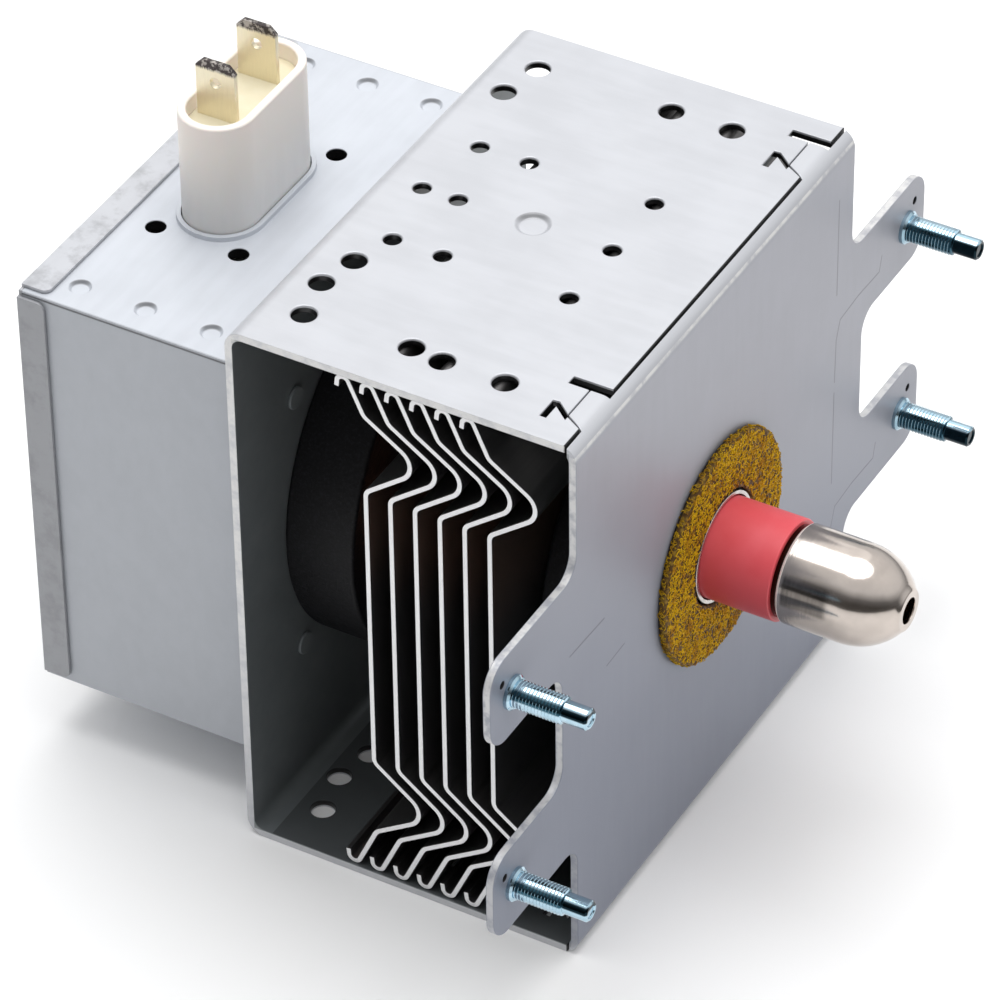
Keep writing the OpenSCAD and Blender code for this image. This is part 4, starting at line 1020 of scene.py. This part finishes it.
class MAGNETRON_OT_antenna(bpy.types.Operator):
    """Finishes the antenna's ceramic, cap and sleeve"""

    bl_idname = "magnetron.antenna"
    bl_label = "Antenna"

    def execute(self, context):
        colours = context.scene.magnetron_colours
        pink = glazed_pink(colours.ceramic)
        dressed("antenna_ceramic", "ceramic_sleeve", pink, "pink_ceramic", CERAMIC_EDGE)
        dressed("stem_ceramic", "stem_insulator", pink, "pink_ceramic", STEM_EDGE)
        bright = drawn_cap(colours.cap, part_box("antenna_cap")[0].x / MM)
        dressed("antenna_cap", "bright_cap", bright, "cap_stainless", CAP_EDGE)
        seal = plain_metal("seal_metal", (0.62, 0.60, 0.57), 0.26)
        dressed("output_seal_cup", "front_sleeve", seal, "seal_metal", CUP_EDGE)
        dressed("input_seal_cup", "rear_sleeve", seal, "seal_metal", CUP_EDGE)
        return {"FINISHED"}


class MAGNETRON_OT_fins(bpy.types.Operator):
    """Finishes the six cooling fins"""

    bl_idname = "magnetron.fins"
    bl_label = "Cooling fins"

    def execute(self, context):
        colours = context.scene.magnetron_colours
        material = rolled_aluminium(colours.fins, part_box("fin_1")[1].y / MM)
        for number in range(1, FIN_COUNT + 1):
            dressed(f"fin_{number}", f"fin_sheet_{number}", material, "fin_aluminium", FIN_EDGE, parts=1)
        return {"FINISHED"}


class MAGNETRON_OT_magnets(bpy.types.Operator):
    """Finishes the two ring magnets"""

    bl_idname = "magnetron.magnets"
    bl_label = "Ring magnets"

    def execute(self, context):
        material = black_ferrite(context.scene.magnetron_colours.magnets)
        dressed("front_magnet", "front_ring", material, "ferrite", MAGNET_EDGE, parts=3)
        dressed("rear_magnet", "rear_ring", material, "ferrite", MAGNET_EDGE, parts=3)
        refinished(material, "choke_core_near", "choke_core_far")
        return {"FINISHED"}


class MAGNETRON_OT_filter_box(bpy.types.Operator):
    """Finishes the filter box, its lid and rivets"""

    bl_idname = "magnetron.filter_box"
    bl_label = "Filter box"

    def execute(self, context):
        sizes, colours = settings(context)
        box = zinc_sheet("box_zinc", colours.box, 0.12, 0.42, (1.0, 0.12, 0.6), 0.4)
        shade_inside(box, box.x.ramp(BOX_FRONT + 0.05, BOX_FRONT + 0.1))
        shade_sides(box, BOX_W / 2, 0.45, tint(colours.box, 0.5))
        shade_eyelets(box)
        shade_dishes(box, DENTS)
        seam(box)
        dents = [(x * MM, y * MM, radius * MM, BOX_TOP * MM) for x, y, radius in DENTS]
        dressed("filter_box", "box_sheet", box.material, "box_steel", sizes.thin_edge,
                dishes=dents, depth=sizes.dish_depth)
        dressed("box_rivets", "rivets", box.material, "box_steel", RIVET_EDGE)
        refinished(box.material, "ground_plate")
        lid = zinc_sheet("lid_zinc", colours.lid, 0.15, 0.46, (0.6, 0.3, 0.3), 0.4)
        smudge(lid)
        shade_sides(lid, BOX_W / 2, 0.6, tint(colours.lid, 0.4))
        dressed("filter_lid", "lid_sheet", lid.material, "box_steel", sizes.thin_edge)
        return {"FINISHED"}


class MAGNETRON_OT_connector(bpy.types.Operator):
    """Finishes the connector tower, its potting and blades"""

    bl_idname = "magnetron.connector"
    bl_label = "Connector"

    def execute(self, context):
        sizes, colours = settings(context)
        low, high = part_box("connector_body")
        cream = cream_plastic(colours.tower, low.z / MM + 3.0, high.z / MM - 3.0)
        dressed("connector_body", "tower", cream, "cream_plastic", sizes.tower_edge, parts=3)
        resin = clouded(
            "potting_resin", (0.5, 4.0, 0.6), ((0.78, 0.73, 0.57), (0.72, 0.65, 0.46)), (0.42, 0.62), 0.08,
            Metallic=0.0)
        dressed("connector_potting", "tower_fill", resin, "potting", POTTING_EDGE)
        blade = tinned_blade(colours.blades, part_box("terminal_tab_near")[1].z / MM)
        dressed("terminal_tab_near", "blade_near", blade, "tab_tin", sizes.thin_edge)
        dressed("terminal_tab_far", "blade_far", blade, "tab_tin", sizes.thin_edge)
        return {"FINISHED"}


class MAGNETRON_OT_tube(bpy.types.Operator):
    """Finishes the tube's inner pieces"""

    bl_idname = "magnetron.tube"
    bl_label = "Inner pieces"

    def execute(self, context):
        copper = turned_copper(context.scene.magnetron_colours.copper)
        dressed("anode_shell", "anode_wall", copper, "copper", ANODE_EDGE)
        refinished(copper, "anode_vanes", "strap_rings", "exhaust_tube", "antenna_lead")
        refinished(plain_metal("pole_iron", (0.30, 0.30, 0.31), 0.42), "output_pole_piece", "input_pole_piece")
        refinished(
            plain_metal("dark_tungsten", (0.16, 0.16, 0.17), 0.45), "filament", "front_end_hat", "rear_end_hat",
            "centre_lead", "side_lead")
        fired = clouded(
            "fired_ceramic", (3.0, 4.0, 0.6), ((0.74, 0.72, 0.67), (0.82, 0.80, 0.76)), (0.45, 0.65), 0.03,
            Metallic=0.0)
        refinished(fired, "capacitor_ceramic")
        enamel = clouded(
            "enamelled_wire", (0.8, 3.0, 0.5), ((0.33, 0.10, 0.03), (0.42, 0.15, 0.05)), (0.3, 0.45), 0.02,
            Metallic=0.5, Coat_Roughness=0.15, Coat_Weight=0.6)
        refinished(enamel, "choke_coil_near", "choke_coil_far")
        refinished(plain_metal("strip_tin", (0.66, 0.63, 0.56), 0.35), "lead_strip_near", "lead_strip_far")
        return {"FINISHED"}


class MAGNETRON_OT_stage(bpy.types.Operator):
    """Sets the floor, the lamps and the camera"""

    bl_idname = "magnetron.stage"
    bl_label = "Stage"

    def execute(self, context):
        scene, stage = context.scene, context.scene.magnetron_stage
        scene.view_settings.view_transform = "Standard"
        bm = bmesh.new()
        bmesh.ops.create_grid(bm, x_segments=1, y_segments=1, size=FLOOR_SIZE)
        bmesh.ops.translate(bm, verts=bm.verts, vec=(0, 0, CAD_BOX[0].z))
        floor = linked("floor", mesh_from(bm, "floor"))
        paper = Finish("floor_paper", Metallic=0.0, Roughness=0.9, Specular_IOR_Level=0.1)
        colour = stage.floor
        paper.feed(Base_Color=paper.mix(paper.noise(0.02), colour, tint(colour, 0.99)))
        coated(floor.data, paper.material)

        def lamp(name, place, size, power):
            light = bpy.data.lights.new(name, "AREA")
            light.shape = "DISK"
            light.size = size
            light.energy = power
            made = linked(name, light)
            made.location = place
            made.rotation_euler = (-Vector(place)).to_track_quat("-Z", "Y").to_euler()

        lamp("top_lamp", *TOP_LAMP, stage.top_lamp)
        lamp("back_lamp", *BACK_LAMP, stage.back_lamp)

        world = bpy.data.worlds.new("surround")
        world.use_nodes = True
        scene.world = world
        sky = Graph(world.node_tree)
        world.node_tree.nodes.clear()
        facing = sky.node("ShaderNodeVectorMath", {
            0: sky.node("ShaderNodeTexCoord", output="Generated"), 1: SKY_AXIS}, "Value",
            operation="DOT_PRODUCT")
        shade = sky.node("ShaderNodeValToRGB", {"Fac": facing}, stops=SKY_STOPS)
        light = sky.node("ShaderNodeBackground", {"Color": shade, "Strength": stage.surround})
        sky.node("ShaderNodeOutputWorld", {"Surface": light})

        lens = bpy.data.cameras.new("camera")
        lens.sensor_width = 36.0
        lens.lens = stage.lens
        lens.shift_x, lens.shift_y = CAMERA_SHIFT
        lens.clip_start = 0.01
        lens.clip_end = 20.0
        camera = linked("camera", lens)
        turn = Matrix(CAMERA_AXES).transposed()
        camera.matrix_world = Matrix.Translation(CAMERA_PLACE) @ turn.to_4x4()
        scene.camera = camera
        return {"FINISHED"}


class MAGNETRON_PT_panel(bpy.types.Panel):
    """Pieces, sizes and colours of the magnetron"""

    bl_idname = "MAGNETRON_PT_panel"
    bl_label = "Magnetron"
    bl_space_type = "VIEW_3D"
    bl_region_type = "UI"
    bl_category = "Magnetron"

    def draw(self, context):
        for operator in PIECES:
            self.layout.operator(operator.bl_idname)
        for group in GROUPS:
            values = getattr(context.scene, group)
            column = self.layout.column(align=True)
            for name in values.__annotations__:
                column.prop(values, name)


GROUPS = {
    "magnetron_sizes": MagnetronSizes, "magnetron_colours": MagnetronColours, "magnetron_stage": MagnetronStage}
PIECES = (
    MAGNETRON_OT_yoke, MAGNETRON_OT_studs, MAGNETRON_OT_gasket, MAGNETRON_OT_antenna, MAGNETRON_OT_fins,
    MAGNETRON_OT_magnets, MAGNETRON_OT_filter_box, MAGNETRON_OT_connector, MAGNETRON_OT_tube,
    MAGNETRON_OT_stage)
CLASSES = (*GROUPS.values(), *PIECES, MAGNETRON_PT_panel)


def register():
    for cls in CLASSES:
        bpy.utils.register_class(cls)
    for name, group in GROUPS.items():
        setattr(bpy.types.Scene, name, bpy.props.PointerProperty(type=group))


def unregister():
    for name in GROUPS:
        delattr(bpy.types.Scene, name)
    for cls in reversed(CLASSES):
        bpy.utils.unregister_class(cls)


def main():
    register()
    bpy.ops.magnetron.yoke()
    bpy.ops.magnetron.studs()
    bpy.ops.magnetron.gasket()
    bpy.ops.magnetron.antenna()
    bpy.ops.magnetron.fins()
    bpy.ops.magnetron.magnets()
    bpy.ops.magnetron.filter_box()
    bpy.ops.magnetron.connector()
    bpy.ops.magnetron.tube()
    bpy.ops.magnetron.stage()


if __name__ == "__main__":
    main()
